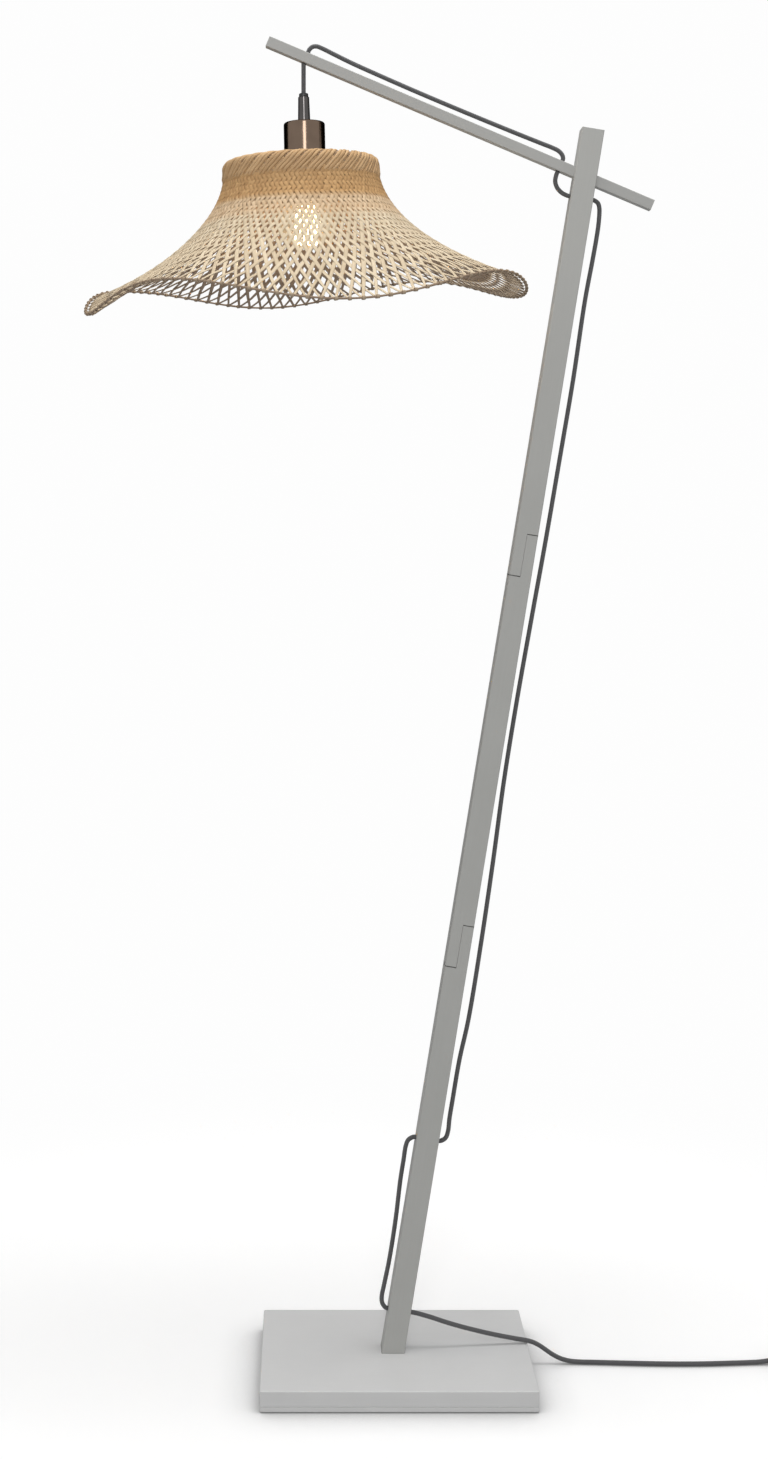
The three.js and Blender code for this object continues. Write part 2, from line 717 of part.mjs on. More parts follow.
function shadeClamp() {
  const bore = holderRadius + shadeRingClearance;
  const sleeve = bore + shadeRingWall;
  const lean = (cupRadius + shadeRingRadius + shadeOffset) * crownLean;
  const ringTop = -crownDepth - shadeWall - centreRingThickness - 2 * seatGap - lean;
  const flangeFoot = ringTop - shadeRingWall;
  const sleeveFoot = ringTop - shadeRingHeight;
  add(pendant, 'shade_ring', turned([
    [bore, ringTop], [bore, sleeveFoot], [sleeve, sleeveFoot], [sleeve, flangeFoot],
    [shadeRingRadius, flangeFoot], [shadeRingRadius, ringTop], [bore, ringTop],
  ], 36), blackPlastic);
}

function bulb() {
  const tipTop = -crownDepth + socketRoofHeight - contactStep - 2 * seatGap;
  const capTop = tipTop - bulbTipHeight;
  const capFoot = capTop - bulbCapHeight;
  const capInner = bulbCapRadius - bulbCapWall;
  const capBrow = capTop - bulbTipHeight;
  const capHole = bulbTipRadius + bulbCapWall;
  add(pendant, 'bulb_cap', turned([
    [capHole, capTop], [bulbCapRadius, capBrow], [bulbCapRadius, capFoot], [capInner, capFoot],
    [capInner, capBrow - bulbCapWall], [capHole, capTop - bulbCapWall], [capHole, capTop],
  ], 28), bareAluminium);
  add(pendant, 'bulb_tip', turned([
    [0, capTop - bulbCapWall], [capHole - seatGap, capTop - bulbCapWall],
    [bulbTipRadius, capTop + bulbTipLift], [bulbTipRadius / 2, tipTop], [0, tipTop],
  ], 20), blackPlastic);

  const neckTop = capFoot - seatGap;
  const centre = neckTop - glassHeight + glassRadius;
  const wall = (inset) => {
    const points = [];
    const steps = 7;
    const radius = glassRadius - inset;
    for (let i = 0; i <= steps; i += 1) {
      const angle = (i / steps) * glassArc;
      points.push([radius * Math.sin(angle), centre - radius * Math.cos(angle)]);
    }
    points.push([glassNeckRadius - inset, neckTop - glassNeckRadius], [glassNeckRadius - inset, neckTop]);
    return points;
  };
  add(pendant, 'bulb_glass', turned([...wall(0), ...wall(glassWall).reverse()], 24), glass);

  const stemTop = neckTop - seatGap;
  const stemFoot = stemTop - stemHeight;
  const stem = turned([
    [0, stemTop], [stemFlareRadius, stemTop], [stemRadius, stemTop - stemFlareRadius],
    [stemRadius, stemFoot + stemRadius], [0, stemFoot],
  ], 16);
  const pieces = [stem];
  const low = stemFoot - filamentLength / 4;
  for (let i = 0; i < filamentCount; i += 1) {
    const angle = (i / filamentCount) * 2 * Math.PI;
    const [x, y] = [filamentSpread * Math.cos(angle), filamentSpread * Math.sin(angle)];
    pieces.push(rod(filamentRadius, low, low + filamentLength, 6).translate(x, y, 0));
    const arm = rod(armRadius, 0, filamentSpread, 6).rotateY(Math.PI / 2).rotateZ(angle);
    pieces.push(arm.translate(0, 0, stemFoot + 2 * stemRadius));
  }
  add(pendant, 'bulb_stem', join(pieces), filamentGlow);
}

// Shade: its surface is worked out from the share of the way down its side and the angle round it
function brimRise(angle) {
  return brimDroop * Math.sin(angle) + brimWave * Math.cos(brimLobes * angle + brimWavePhase);
}

// The side's profile at a share of its depth: its radius, its slope, and the length of a unit of depth.
function sideProfile(share) {
  const shoulder = crownRadius + shoulderRadius;
  const flare = wovenRadius - shoulder;
  const slope = (flare * flarePower * share ** (flarePower - 1)) / sideDepth;
  return { radius: shoulder + flare * share ** flarePower, slope, tip: Math.hypot(1, slope) };
}

// The point on the woven side at a share of its depth, moved in from the outer face by inset.
function sidePoint(share, angle, inset) {
  const { radius, slope, tip } = sideProfile(share);
  const rise = brimRise(angle) * share ** (flarePower * wavePower);
  const z = -shoulderRadius - sideDepth * share + rise - (inset * slope) / tip;
  const reach = radius - inset / tip;
  return [reach * Math.cos(angle), reach * Math.sin(angle), z];
}

function shoulderPoint(turn, angle, inset) {
  const radius = crownRadius + (shoulderRadius - inset) * Math.sin(turn);
  const z = -shoulderRadius + (shoulderRadius - inset) * Math.cos(turn);
  return [radius * Math.cos(angle), radius * Math.sin(angle), z];
}

// The polygons between two rings of corners, the first one higher up the shade.
function band(above, below) {
  return above.map((corner, i) => {
    const next = (i + 1) % above.length;
    return [corner, below[i], below[next], above[next]];
  });
}

// The openwork between two rings of corners: rows of diamonds, each row half a column round from the
// last. The polygons are its slanting bars and, where the bars cross, its knots.
function openwork(above, below) {
  const around = above.length;
  const pitch = 2 * Math.PI / (around / 2);
  const knot = latticeBarWidth * Math.SQRT1_2;
  const wrapped = (ring, half) => ring[(half + around) % around];
  const level = (row) => {
    const share = (row + 1) / (latticeRows + 1);
    return latticeTopShare + (latticeFootShare - latticeTopShare) * share;
  };
  const knotDepth = (row) => knot / (sideDepth * sideProfile(level(row)).tip);
  const diamond = (row, half) => {
    const angle = half * pitch / 2;
    const reach = pitch / 2 - knot / sideProfile(level(row)).radius;
    return {
      top: (inset) => sidePoint(level(row - 1) + knotDepth(row - 1), angle, inset),
      foot: (inset) => sidePoint(level(row + 1) - knotDepth(row + 1), angle, inset),
      left: (inset) => sidePoint(level(row), angle - reach, inset),
      right: (inset) => sidePoint(level(row), angle + reach, inset),
    };
  };
  const edge = (ring) => ring.map((corner, half) => (
    { top: corner, foot: corner, left: wrapped(ring, half - 1), right: wrapped(ring, half + 1) }));
  const rows = [edge(above)];
  for (let row = 0; row < latticeRows; row += 1) {
    rows.push(above.map((corner, half) => diamond(row, half)));
  }
  rows.push(edge(below));

  const polygons = [];
  for (let row = 1; row < rows.length; row += 1) {
    for (let half = row % 2; half < around; half += 2) {
      const { top, left, right } = rows[row][half];
      const before = wrapped(rows[row - 1], half - 1);
      const after = wrapped(rows[row - 1], half + 1);
      polygons.push([top, right, after.foot, after.left]);
      polygons.push([top, before.right, before.foot, left]);
      if (row > 1) polygons.push([top, after.left, rows[row - 2][half].foot, before.right]);
    }
  }
  return polygons;
}

function shade() {
  const frame = group(shadeFrame, pendant);
  const around = 2 * latticeColumns;
  const boreRadius = holderRadius + crownHoleClearance;
  const shoulderSteps = 3;
  const closedSteps = 3;
  const ringOf = (place) => Array.from({ length: around }, (_, i) => {
    const angle = (i / around) * 2 * Math.PI;
    return (inset) => place(angle, inset);
  });
  const boreEdge = (angle, inset) => (
    [boreRadius * Math.cos(angle) + shadeOffset, boreRadius * Math.sin(angle), -inset]);
  const rings = [ringOf(boreEdge)];
  for (let i = 0; i < shoulderSteps; i += 1) {
    const turn = (i / shoulderSteps) * Math.PI / 2;
    rings.push(ringOf((angle, inset) => shoulderPoint(turn, angle, inset)));
  }
  for (let i = 0; i <= closedSteps; i += 1) {
    const share = (i / closedSteps) * latticeTopShare;
    rings.push(ringOf((angle, inset) => sidePoint(share, angle, inset)));
  }
  const closed = rings.slice(1).flatMap((below, i) => band(rings[i], below));
  const latticeFoot = ringOf((angle, inset) => sidePoint(latticeFootShare, angle, inset));
  const brimEdge = ringOf((angle, inset) => sidePoint(1, angle, inset));
  const polygons = [...closed, ...openwork(rings.at(-1), latticeFoot), ...band(latticeFoot, brimEdge)];
  add(frame, 'woven_shade', sheet(polygons, shadeWall), woven);

  const hoop = [];
  const hoopSteps = 72;
  const hoopSides = 6;
  for (let i = 0; i < hoopSteps; i += 1) {
    const angle = (i / hoopSteps) * 2 * Math.PI;
    const centre = brimRadius - hoopRadius;
    const section = [];
    for (let j = 0; j < hoopSides; j += 1) {
      const turn = (j / hoopSides) * 2 * Math.PI;
      const radius = centre + hoopRadius * Math.cos(turn);
      const z = -shadeHeight + brimRise(angle) + hoopRadius * Math.sin(turn);
      section.push([radius * Math.cos(angle), radius * Math.sin(angle), z]);
    }
    hoop.push(section);
  }
  add(frame, 'brim_hoop', loft(hoop), woven);

  const ringTop = -shadeWall - seatGap;
  const ringFoot = ringTop - centreRingThickness;
  const centreRing = ring(centreRingRadius, boreRadius, ringFoot, ringTop, 36).translate(shadeOffset, 0, 0);
  add(frame, 'centre_ring', centreRing, turnedWood);
}

// Switch on the cord: a floor shell, a cover with a rocker on its own axle, and two screws
function inlineSwitch() {
  const frame = group(new THREE.Matrix4().setPosition(switchX, switchY, 0));
  const outline = roundedRectangle(switchLength, switchWidth, switchCornerRadius);
  const top = switchFloorHeight + switchCoverHeight;
  const half = switchLength / 2;
  const cordWay = (side) => rod(cordRadius + seatGap, half - switchCordDepth, half + cutOverrun, 16)
    .rotateY(side * Math.PI / 2).translate(0, 0, switchFloorHeight);
  const screwX = half - switchScrewInset - switchCordDepth / 3;
  const screwY = switchWidth / 2 - switchScrewInset / 2;
  const screws = (grow, overrun) => [[-screwX, -screwY], [screwX, screwY]].map(([x, y]) =>
    screw(switchScrew, grow, overrun, 8).rotateX(Math.PI).translate(x, y, 0));
  const screwHoles = screws(seatGap, cutOverrun);
  const ways = [cordWay(1), cordWay(-1)];

  const body = slab(outline, 0, top, switchBevel, 4);
  const layer = (from, to) => block([-switchLength, -switchWidth, from], [switchLength, switchWidth, to]);
  const above = layer(switchFloorHeight, top + cutOverrun);
  const below = layer(-cutOverrun, switchFloorHeight);
  add(frame, 'switch_floor', cut(body, [above, ...ways, ...screwHoles]), blackPlastic);

  const wellX = rockerLength / 2 + 2 * seatGap;
  const wellY = rockerWidth / 2 + seatGap;
  const well = block([-wellX, -wellY, switchFloorHeight - cutOverrun], [wellX, wellY, top + cutOverrun]);
  const axleEnd = rockerWidth / 2 + axleReach;
  const axle = (grow) => rod(axleRadius + grow, -axleEnd - grow, axleEnd + grow, 12)
    .rotateX(Math.PI / 2).translate(0, 0, rockerPivotHeight);
  add(frame, 'switch_cover', cut(body, [below, ...ways, ...screwHoles, well, axle(seatGap)]), blackPlastic);

  const reach = rockerLength / 2;
  const shape = new THREE.Shape();
  shape.moveTo(-reach, rockerTopRise);
  shape.lineTo(0, rockerTopRise - rockerDip);
  shape.lineTo(reach, rockerTopRise);
  shape.lineTo(reach - rockerDip, 0);
  shape.quadraticCurveTo(0, -2 * rockerBelly, -reach + rockerDip, 0);
  const settings = { depth: rockerWidth, bevelEnabled: false, curveSegments: 6 };
  const key = new THREE.ExtrudeGeometry(shape, settings).translate(0, 0, -rockerWidth / 2)
    .rotateX(Math.PI / 2).rotateY(rockerTilt).translate(0, 0, rockerPivotHeight);
  add(frame, 'switch_rocker', join([key, axle(0)]), glossBlack);
  screws(0, 0).forEach((geometry, i) => add(frame, `switch_screw_${i + 1}`, geometry, steel));
}

// Coil: two layers of turns, one spiral in and the next out, in one unbroken tube
function coilCentre(turn) {
  const middle = coilTurns / 2;
  const radius = coilInnerRadius + coilPitch * Math.abs(turn - middle);
  const climb = THREE.MathUtils.smoothstep(turn, middle - coilClimbTurns / 2, middle + coilClimbTurns / 2);
  const angle = (turn - coilStartTurn) * 2 * Math.PI;
  return new THREE.Vector3(
    coilX + radius * Math.cos(angle), coilY + radius * Math.sin(angle), cordOnFloor + coilPitch * climb);
}

function coil() {
  const steps = Math.round(coilTurns * coilSteps);
  const centres = [];
  for (let i = 0; i <= steps; i += 1) centres.push(coilCentre((i / steps) * coilTurns));
  const end = centres.at(-1).clone();
  end.y += cordDiameter;
  centres.push(end);
  const positions = [];
  const index = [];
  centres.forEach((centre, i) => {
    const before = centres[Math.max(i - 1, 0)];
    const after = centres[Math.min(i + 1, centres.length - 1)];
    const along = after.clone().sub(before);
    if (i === 0) along.set(1, 0, 0);
    if (i === centres.length - 1) along.set(0, 1, 0);
    along.z = 0;
    along.normalize();
    const side = new THREE.Vector3(along.y, -along.x, 0);
    for (let j = 0; j < coilSides; j += 1) {
      const turn = ((j + 0.5) / coilSides) * 2 * Math.PI;
      const point = centre.clone().addScaledVector(side, cordRadius * Math.cos(turn));
      positions.push(point.x, point.y, point.z + cordRadius * Math.sin(turn));
    }
  });
  for (let i = 0; i + 1 < centres.length; i += 1) {
    for (let j = 0; j < coilSides; j += 1) {
      const a = i * coilSides + j;
      const b = i * coilSides + ((j + 1) % coilSides);
      index.push(a, b, b + coilSides, a, b + coilSides, a + coilSides);
    }
  }
  const last = (centres.length - 1) * coilSides;
  for (let j = 1; j + 1 < coilSides; j += 1) {
    index.push(0, j + 1, j, last, last + j, last + j + 1);
  }
  const geometry = new THREE.BufferGeometry();
  geometry.setAttribute('position', new THREE.Float32BufferAttribute(positions, 3));
  geometry.setIndex(index);
  add(lamp, 'cord_coil', facingOut(geometry), cordCloth);

  const apart = Math.round(coilSteps / 2);
  let least = Infinity;
  for (let i = 0; i < centres.length; i += 1) {
    for (let j = i + apart; j < centres.length; j += 1) {
      least = Math.min(least, centres[i].distanceTo(centres[j]) - cordDiameter);
    }
  }
  console.log(`cord coil: least gap between turns ${least.toFixed(2)} mm`);
}

// Plug: a flat two-pin body with a tapered boot, and the short lead from the coil
function plug() {
  const height = plugThickness / 2;
  const leadStart = coilCentre(coilTurns);
  const leadRoute = [
    [plugX, leadStart.y + cordDiameter + seatGap, leadStart.z],
    [plugX, leadStart.y + 2 * cordDiameter, leadStart.z],
    [plugX, plugY - cordDiameter, height],
    [plugX, plugY + bootCordDepth, height],
  ];
  add(lamp, 'plug_lead', cordAlong(leadRoute), cordCloth);

  const frame = group(new THREE.Matrix4().setPosition(plugX, plugY, height));
  const cordWay = rod(cordRadius + seatGap, -cutOverrun, bootCordDepth + 2 * seatGap, 16);
  const boot = turned([
    [0, 0], [bootTipRadius, 0], [bootRootRadius, bootLength], [0, bootLength],
  ], 20);
  add(frame, 'plug_boot', cut(boot, [cordWay]).rotateX(-Math.PI / 2), blackPlastic);

  const start = bootLength + seatGap;
  const face = start + plugLength;
  const shape = new THREE.Shape();
  shape.moveTo(-plugCordEndWidth / 2, start);
  shape.lineTo(plugCordEndWidth / 2, start);
  shape.quadraticCurveTo(plugWidth / 2, start + plugLength / 4, plugWidth / 2, start + plugLength / 2);
  shape.lineTo(plugFaceWidth / 2, face);
  shape.lineTo(-plugFaceWidth / 2, face);
  shape.lineTo(-plugWidth / 2, start + plugLength / 2);
  shape.quadraticCurveTo(-plugWidth / 2, start + plugLength / 4, -plugCordEndWidth / 2, start);
  const pinRoot = face - plugPinSocket;
  const pin = (side, grow) => rod(plugPinRadius + grow, pinRoot - grow, face + plugPinLength, 12)
    .rotateX(-Math.PI / 2).translate(side * plugPinPitch / 2, 0, 0);
  const body = slab(shape, -height, height, plugBevel, 6);
  add(frame, 'plug_body', cut(body, [pin(-1, seatGap), pin(1, seatGap)]), blackPlastic);
  add(frame, 'plug_pin_1', pin(-1, 0), brass);
  add(frame, 'plug_pin_2', pin(1, 0), brass);
}

base();
post();
boom();
drop();
gripAndCup();
lampholder();
shadeClamp();
bulb();
shade();
add(lamp, 'lamp_cord', cordAlong(lampCordRoute), cordCloth);
add(lamp, 'floor_cord', cordAlong(floorCordRoute), cordCloth);
add(lamp, 'switch_lead', cordAlong(switchLeadRoute), cordCloth);
inlineSwitch();
coil();
plug();

export default lamp;
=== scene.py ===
# The looks of a leaning floor lamp with a woven shade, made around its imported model.
# Metres, in the model's own frame: +Z up, +X to the side that the post leans to, -Y to the front.
import math

import bpy
import numpy as np
from mathutils import Matrix, Vector


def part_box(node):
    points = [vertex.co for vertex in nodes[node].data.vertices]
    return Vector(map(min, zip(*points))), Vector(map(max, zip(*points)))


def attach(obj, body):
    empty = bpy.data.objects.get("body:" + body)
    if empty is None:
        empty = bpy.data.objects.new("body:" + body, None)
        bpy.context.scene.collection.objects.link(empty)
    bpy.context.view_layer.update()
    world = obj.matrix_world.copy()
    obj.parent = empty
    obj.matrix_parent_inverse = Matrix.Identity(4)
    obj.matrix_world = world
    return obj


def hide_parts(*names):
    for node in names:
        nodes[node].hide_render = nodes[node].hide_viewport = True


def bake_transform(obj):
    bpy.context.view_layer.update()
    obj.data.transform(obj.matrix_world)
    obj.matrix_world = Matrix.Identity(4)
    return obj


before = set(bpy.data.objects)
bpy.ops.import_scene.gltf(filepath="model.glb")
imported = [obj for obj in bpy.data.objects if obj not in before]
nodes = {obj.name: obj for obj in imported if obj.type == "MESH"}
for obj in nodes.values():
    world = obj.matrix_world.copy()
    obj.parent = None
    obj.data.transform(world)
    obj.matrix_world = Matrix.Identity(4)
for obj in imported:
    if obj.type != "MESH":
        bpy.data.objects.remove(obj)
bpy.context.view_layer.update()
MM = 0.001
UP = np.array([0.0, 0.0, 1.0])
rng = np.random.default_rng(11)

# Sizes that the model and its dressing share
POST_LEAN = math.radians(9.3)
POST_FOOT = (-3 * MM, 0, 23.4 * MM)
POST_WIDTH = 25 * MM
POST_CHAMFER = 0.9 * MM
LAP_PLACES = (461 * MM, 904 * MM)
LAP_LENGTH = 48 * MM
SEAT_GAP = 0.3 * MM
BOOM_DROP = math.radians(23.07)

CORD_DIAMETER = 5 * MM
DROP_LENGTH = 34.1 * MM
FLEX_GAP = 0.8 * MM
CROWN_DEPTH = 75 * MM
CUP_RADIUS = 23.25 * MM
PENDANT_TILT = math.radians(-1.2)

SHADE_WALL = 2.6 * MM
CROWN_RADIUS = 79.5 * MM
SHOULDER_RADIUS = 8 * MM
SIDE_DEPTH = 141 * MM
BRIM_RADIUS = 249 * MM
HOOP_RADIUS = 2 * MM
WOVEN_RADIUS = 244.7 * MM
SHADE_OFFSET = 5 * MM
BORE_RADIUS = 20.5 * MM
SHADE_SIDE_TILT = math.radians(-1.1)
SHADE_FRONT_TILT = math.radians(1.5)
BRIM_LIFT = 1.4 * MM
BRIM_SIDE_LIFT = 1.2 * MM
BRIM_DROOP = 14.8 * MM
BRIM_WAVE = 12.7 * MM
BRIM_LOBES = 4
BRIM_WAVE_PHASE = math.radians(137)
FLARE_POWER = 2.05
WAVE_POWER = 1.3

# The brim's curl at its left end, which the model's brim doesn't have
BRIM_CURL = 5.9 * MM
BRIM_CURL_PLACE = math.radians(185.4)
BRIM_CURL_SPREAD = math.radians(46.5)
BRIM_CURL_RATE = 5.54


# Objects and meshes
def new_object(name, data):
    made = bpy.data.objects.new(name, data)
    bpy.context.scene.collection.objects.link(made)
    return made


def new_piece(name, points, faces, uvs, body, slot, material, matrix=None, attributes=None):
    """A smooth mesh from arrays, riding on a body. uvs has one pair for each corner of each face."""
    mesh = bpy.data.meshes.new(name)
    mesh.from_pydata(points.tolist(), [], faces)
    mesh.uv_layers.new(name="UVMap").data.foreach_set("uv", np.asarray(uvs, np.float32).ravel())
    for key, values in (attributes or {}).items():
        layer = mesh.attributes.new(key, "FLOAT", "POINT")
        layer.data.foreach_set("value", np.asarray(values, np.float32).ravel())
    mesh.polygons.foreach_set("use_smooth", [True] * len(faces))
    mesh.materials.append(material)
    if matrix is not None:
        mesh.transform(matrix)
    mesh.update()
    piece = new_object(name, mesh)
    if body:
        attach(piece, body)
    return piece


def unit(vectors):
    return vectors / np.maximum(np.linalg.norm(vectors, axis=-1, keepdims=True), 1e-12)


def outward_at(angle):
    """Level unit vectors at angles round the Z axis."""
    return np.stack([np.cos(angle), np.sin(angle), np.zeros_like(angle)], -1)


def along(centres, closed=False):
    """Unit tangents of many lines at once. centres is (lines, steps, 3)."""
    if closed:
        return unit(np.roll(centres, -1, 1) - np.roll(centres, 1, 1))
    return unit(np.gradient(centres, axis=1))


def laid_on(centres, normals, closed=False):
    """The sideways and upward axes of bars that lie on a surface with these normals."""
    tangents = along(centres, closed)
    ups = unit(normals - tangents * np.sum(normals * tangents, -1, keepdims=True))
    return np.cross(ups, tangents), ups


def sweep(centres, sides, ups, section, closed=False, wrap=None):
    """Many bars at once: points, faces and uvs. sides and ups are the section's axes at each step, with
    sides x ups along the line. The section is a list of (side, up) corners, anticlockwise."""
    section = np.asarray(section, float)
    lines, steps = centres.shape[:2]
    corners = len(section)
    points = (centres[:, :, None] + sides[:, :, None] * section[:, 0, None]
              + ups[:, :, None] * section[:, 1, None])
    index = np.arange(lines * steps * corners).reshape(lines, steps, corners)
    here = index if closed else index[:, :-1]
    there = np.roll(index, -1, axis=1) if closed else index[:, 1:]
    quads = np.stack([here, np.roll(here, -1, 2), np.roll(there, -1, 2), there], -1).reshape(-1, 4)

    spans = np.linalg.norm(np.diff(centres, axis=1), axis=2)
    reach = np.concatenate([np.zeros((lines, 1)), np.cumsum(spans, axis=1)], axis=1)
    if closed:
        reach = np.concatenate([reach, reach[:, -1:] + spans[:, -1:]], axis=1)
    wrap = np.arange(corners + 1) / corners if wrap is None else np.asarray(wrap)
    shape = here.shape
    left = np.broadcast_to(wrap[:-1], shape) + np.arange(lines)[:, None, None]
    right = np.broadcast_to(wrap[1:], shape) + np.arange(lines)[:, None, None]
    low = np.broadcast_to(reach[:, :-1, None], shape)
    high = np.broadcast_to(reach[:, 1:, None], shape)
    uvs = np.stack([left, low, right, low, right, high, left, high], -1).reshape(-1, 2)
    faces = quads.tolist()
    if not closed:
        ends = np.concatenate([index[:, 0, ::-1], index[:, -1]])
        faces += ends.tolist()
        uvs = np.concatenate([uvs, np.tile([0.5, 0], (ends.size, 1))])
    return points.reshape(-1, 3), faces, uvs


def circle(corners):
    angles = (np.arange(corners) + 0.5) / corners * 2 * math.pi
    return np.stack([np.cos(angles), np.sin(angles)], -1)


# Camera: level, with the photograph's own lens and framing
PHOTO_WIDTH, PHOTO_HEIGHT = 768, 1459
FOCAL_PIXELS = 1858.6
PRINCIPAL_X, PRINCIPAL_Y = 308.7, 493.6
CAMERA_PLACE = (-0.0973, -2.090, 0.9848)


def make_camera():
    data = bpy.data.cameras.new("camera")
    data.sensor_width = 36
    data.lens = data.sensor_width * FOCAL_PIXELS / PHOTO_HEIGHT
    data.shift_x = (PHOTO_WIDTH / 2 - PRINCIPAL_X) / PHOTO_HEIGHT
    data.shift_y = (PRINCIPAL_Y - PHOTO_HEIGHT / 2) / PHOTO_HEIGHT
    data.clip_start = 0.05
    camera = new_object("camera", data)
    camera.location = CAMERA_PLACE
    camera.rotation_euler = (math.pi / 2, 0, 0)
    bpy.context.scene.camera = camera


# Shader nodes
def new_material(name):
    material = bpy.data.materials.new(name)
    material.use_nodes = True
    return material, material.node_tree, material.node_tree.nodes["Principled BSDF"]


def fill_inputs(tree, node, inputs):
    """Links each input to the socket that it is given, or sets it to the value."""
    for key, value in inputs.items():
        if isinstance(value, bpy.types.NodeSocket):
            tree.links.new(value, node.inputs[key])
        else:
            node.inputs[key].default_value = value


def add_node(tree, kind, inputs=None, **settings):
    made = tree.nodes.new(kind)
    for key, value in settings.items():
        setattr(made, key, value)
    fill_inputs(tree, made, inputs or {})
    return made


def coordinates(tree, source="Object", scale=(1, 1, 1), rotation=(0, 0, 0)):
    """Texture coordinates, turned first and then scaled."""
    place = add_node(tree, "ShaderNodeTexCoord").outputs[source]
    turn = add_node(tree, "ShaderNodeMapping", {"Vector": place, "Rotation": rotation})
    return add_node(tree, "ShaderNodeMapping", {"Vector": turn.outputs[0], "Scale": scale}).outputs[0]


def noise(tree, vector, scale, detail=3, roughness=0.55):
    made = add_node(tree, "ShaderNodeTexNoise",
                    {"Vector": vector, "Scale": scale, "Detail": detail, "Roughness": roughness})
    return made.outputs["Fac"]


def ramp(tree, value, low, high, to_low=0.0, to_high=1.0):
    made = add_node(tree, "ShaderNodeMapRange", {"Value": value, "From Min": low, "From Max": high,
                                                "To Min": to_low, "To Max": to_high})
    return made.outputs[0]


def maths(tree, operation, a, b=0.0):
    return add_node(tree, "ShaderNodeMath", {0: a, 1: b}, operation=operation).outputs[0]


def weighted_sum(tree, first, first_weight, second, second_weight):
    return maths(tree, "ADD", maths(tree, "MULTIPLY", first, first_weight),
                 maths(tree, "MULTIPLY", second, second_weight))


def blend_colour(tree, share, first, second, mode="MIX"):
    colours = [value if isinstance(value, bpy.types.NodeSocket) else (*value, 1) for value in (first, second)]
    made = add_node(tree, "ShaderNodeMix", {0: share, 6: colours[0], 7: colours[1]},
                    data_type="RGBA", blend_type=mode)
    return made.outputs[2]


def colour_ramp(tree, value, stops):
    made = add_node(tree, "ShaderNodeValToRGB", {0: value})
    elements = made.color_ramp.elements
    while len(elements) < len(stops):
        elements.new(0.5)
    for element, (place, colour) in zip(elements, stops):
        element.position = place
        element.color = (*colour, 1)
    return made.outputs[0]


def bump(tree, height, distance, strength=1.0):
    made = add_node(tree, "ShaderNodeBump",
                    {"Height": height, "Distance": distance, "Strength": strength})
    return made.outputs[0]


def attribute(tree, name):
    return add_node(tree, "ShaderNodeAttribute", attribute_name=name).outputs["Fac"]


# Materials
def worn_edges(tree):
    """1 where the surface turns close to an edge, broken up by noise."""
    rubbed_width = 0.9 * MM
    rounded = add_node(tree, "ShaderNodeBevel", {"Radius": rubbed_width}, samples=6).outputs[0]
    flat = add_node(tree, "ShaderNodeNewGeometry").outputs["Normal"]
    match = add_node(tree, "ShaderNodeVectorMath", {0: rounded, 1: flat}, operation="DOT_PRODUCT")
    edge = ramp(tree, match.outputs["Value"], 0.995, 0.9)
    patches = ramp(tree, noise(tree, coordinates(tree), scale=160), 0.35, 0.6)
    return maths(tree, "MULTIPLY", edge, patches)


def paint(name, light, dark, worn, rotation):
    """Eggshell paint over wood: a faint grain along the bar, brush streaks and rubbed edges."""
    material, tree, surface = new_material(name)
    bar = coordinates(tree, scale=(1, 1, 0.02), rotation=rotation)
    grain = noise(tree, bar, scale=900, detail=4, roughness=0.6)
    cloud = noise(tree, coordinates(tree), scale=14)
    speck = noise(tree, coordinates(tree), scale=1500, detail=2)
    mix = weighted_sum(tree, grain, 0.35, cloud, 0.65)
    colour = blend_colour(tree, ramp(tree, mix, 0.35, 0.65), dark, light)
    fill_inputs(tree, surface, {
        "Base Color": blend_colour(tree, worn_edges(tree), colour, worn),
        "Roughness": ramp(tree, cloud, 0.3, 0.7, 0.5, 0.62),
        "Normal": bump(tree, weighted_sum(tree, grain, 1, speck, 0.3), 0.1 * MM, 0.35),
    })
    return material


def metal(name, colour, roughness, edge=None):
    """Metal with fine brushing. edge is its colour at a grazing angle."""
    material, tree, surface = new_material(name)
    brush = noise(tree, coordinates(tree, scale=(1, 1, 0.03)), scale=2500)
    cloud = noise(tree, coordinates(tree), scale=60)
    duller = [channel * 0.86 for channel in colour]
    fill_inputs(tree, surface, {
        "Base Color": blend_colour(tree, ramp(tree, cloud, 0.3, 0.7), duller, colour),
        "Metallic": 1,
        "Roughness": ramp(tree, cloud, 0.3, 0.7, roughness * 0.85, roughness * 1.15),
        "Normal": bump(tree, brush, 0.02 * MM, 0.5),
    })
    if edge:
        # A black edge colour paints the dark reflection that the sides of a polished cylinder show
        surface.inputs["Specular Tint"].default_value = (*edge, 1)
    return material


def plastic(name, colour, roughness):
    material, tree, surface = new_material(name)
    speck = noise(tree, coordinates(tree), scale=1200, detail=2)
    cloud = noise(tree, coordinates(tree), scale=45, detail=2)
    paler = [channel * 1.35 for channel in colour]
    fill_inputs(tree, surface, {
        "Base Color": blend_colour(tree, cloud, colour, paler),
        "Roughness": ramp(tree, speck, 0.3, 0.7, roughness * 0.9, roughness * 1.1),
        "Normal": bump(tree, speck, 0.03 * MM, 0.4),
    })
    return material


def felt():
    material, tree, surface = new_material("felt")
    fuzz = noise(tree, coordinates(tree), scale=2200, detail=4, roughness=0.7)
    fill_inputs(tree, surface, {
        "Base Color": blend_colour(tree, fuzz, (0.012, 0.012, 0.013), (0.045, 0.045, 0.047)),
        "Roughness": 0.95,
        "Normal": bump(tree, fuzz, 0.3 * MM),
    })
    return material


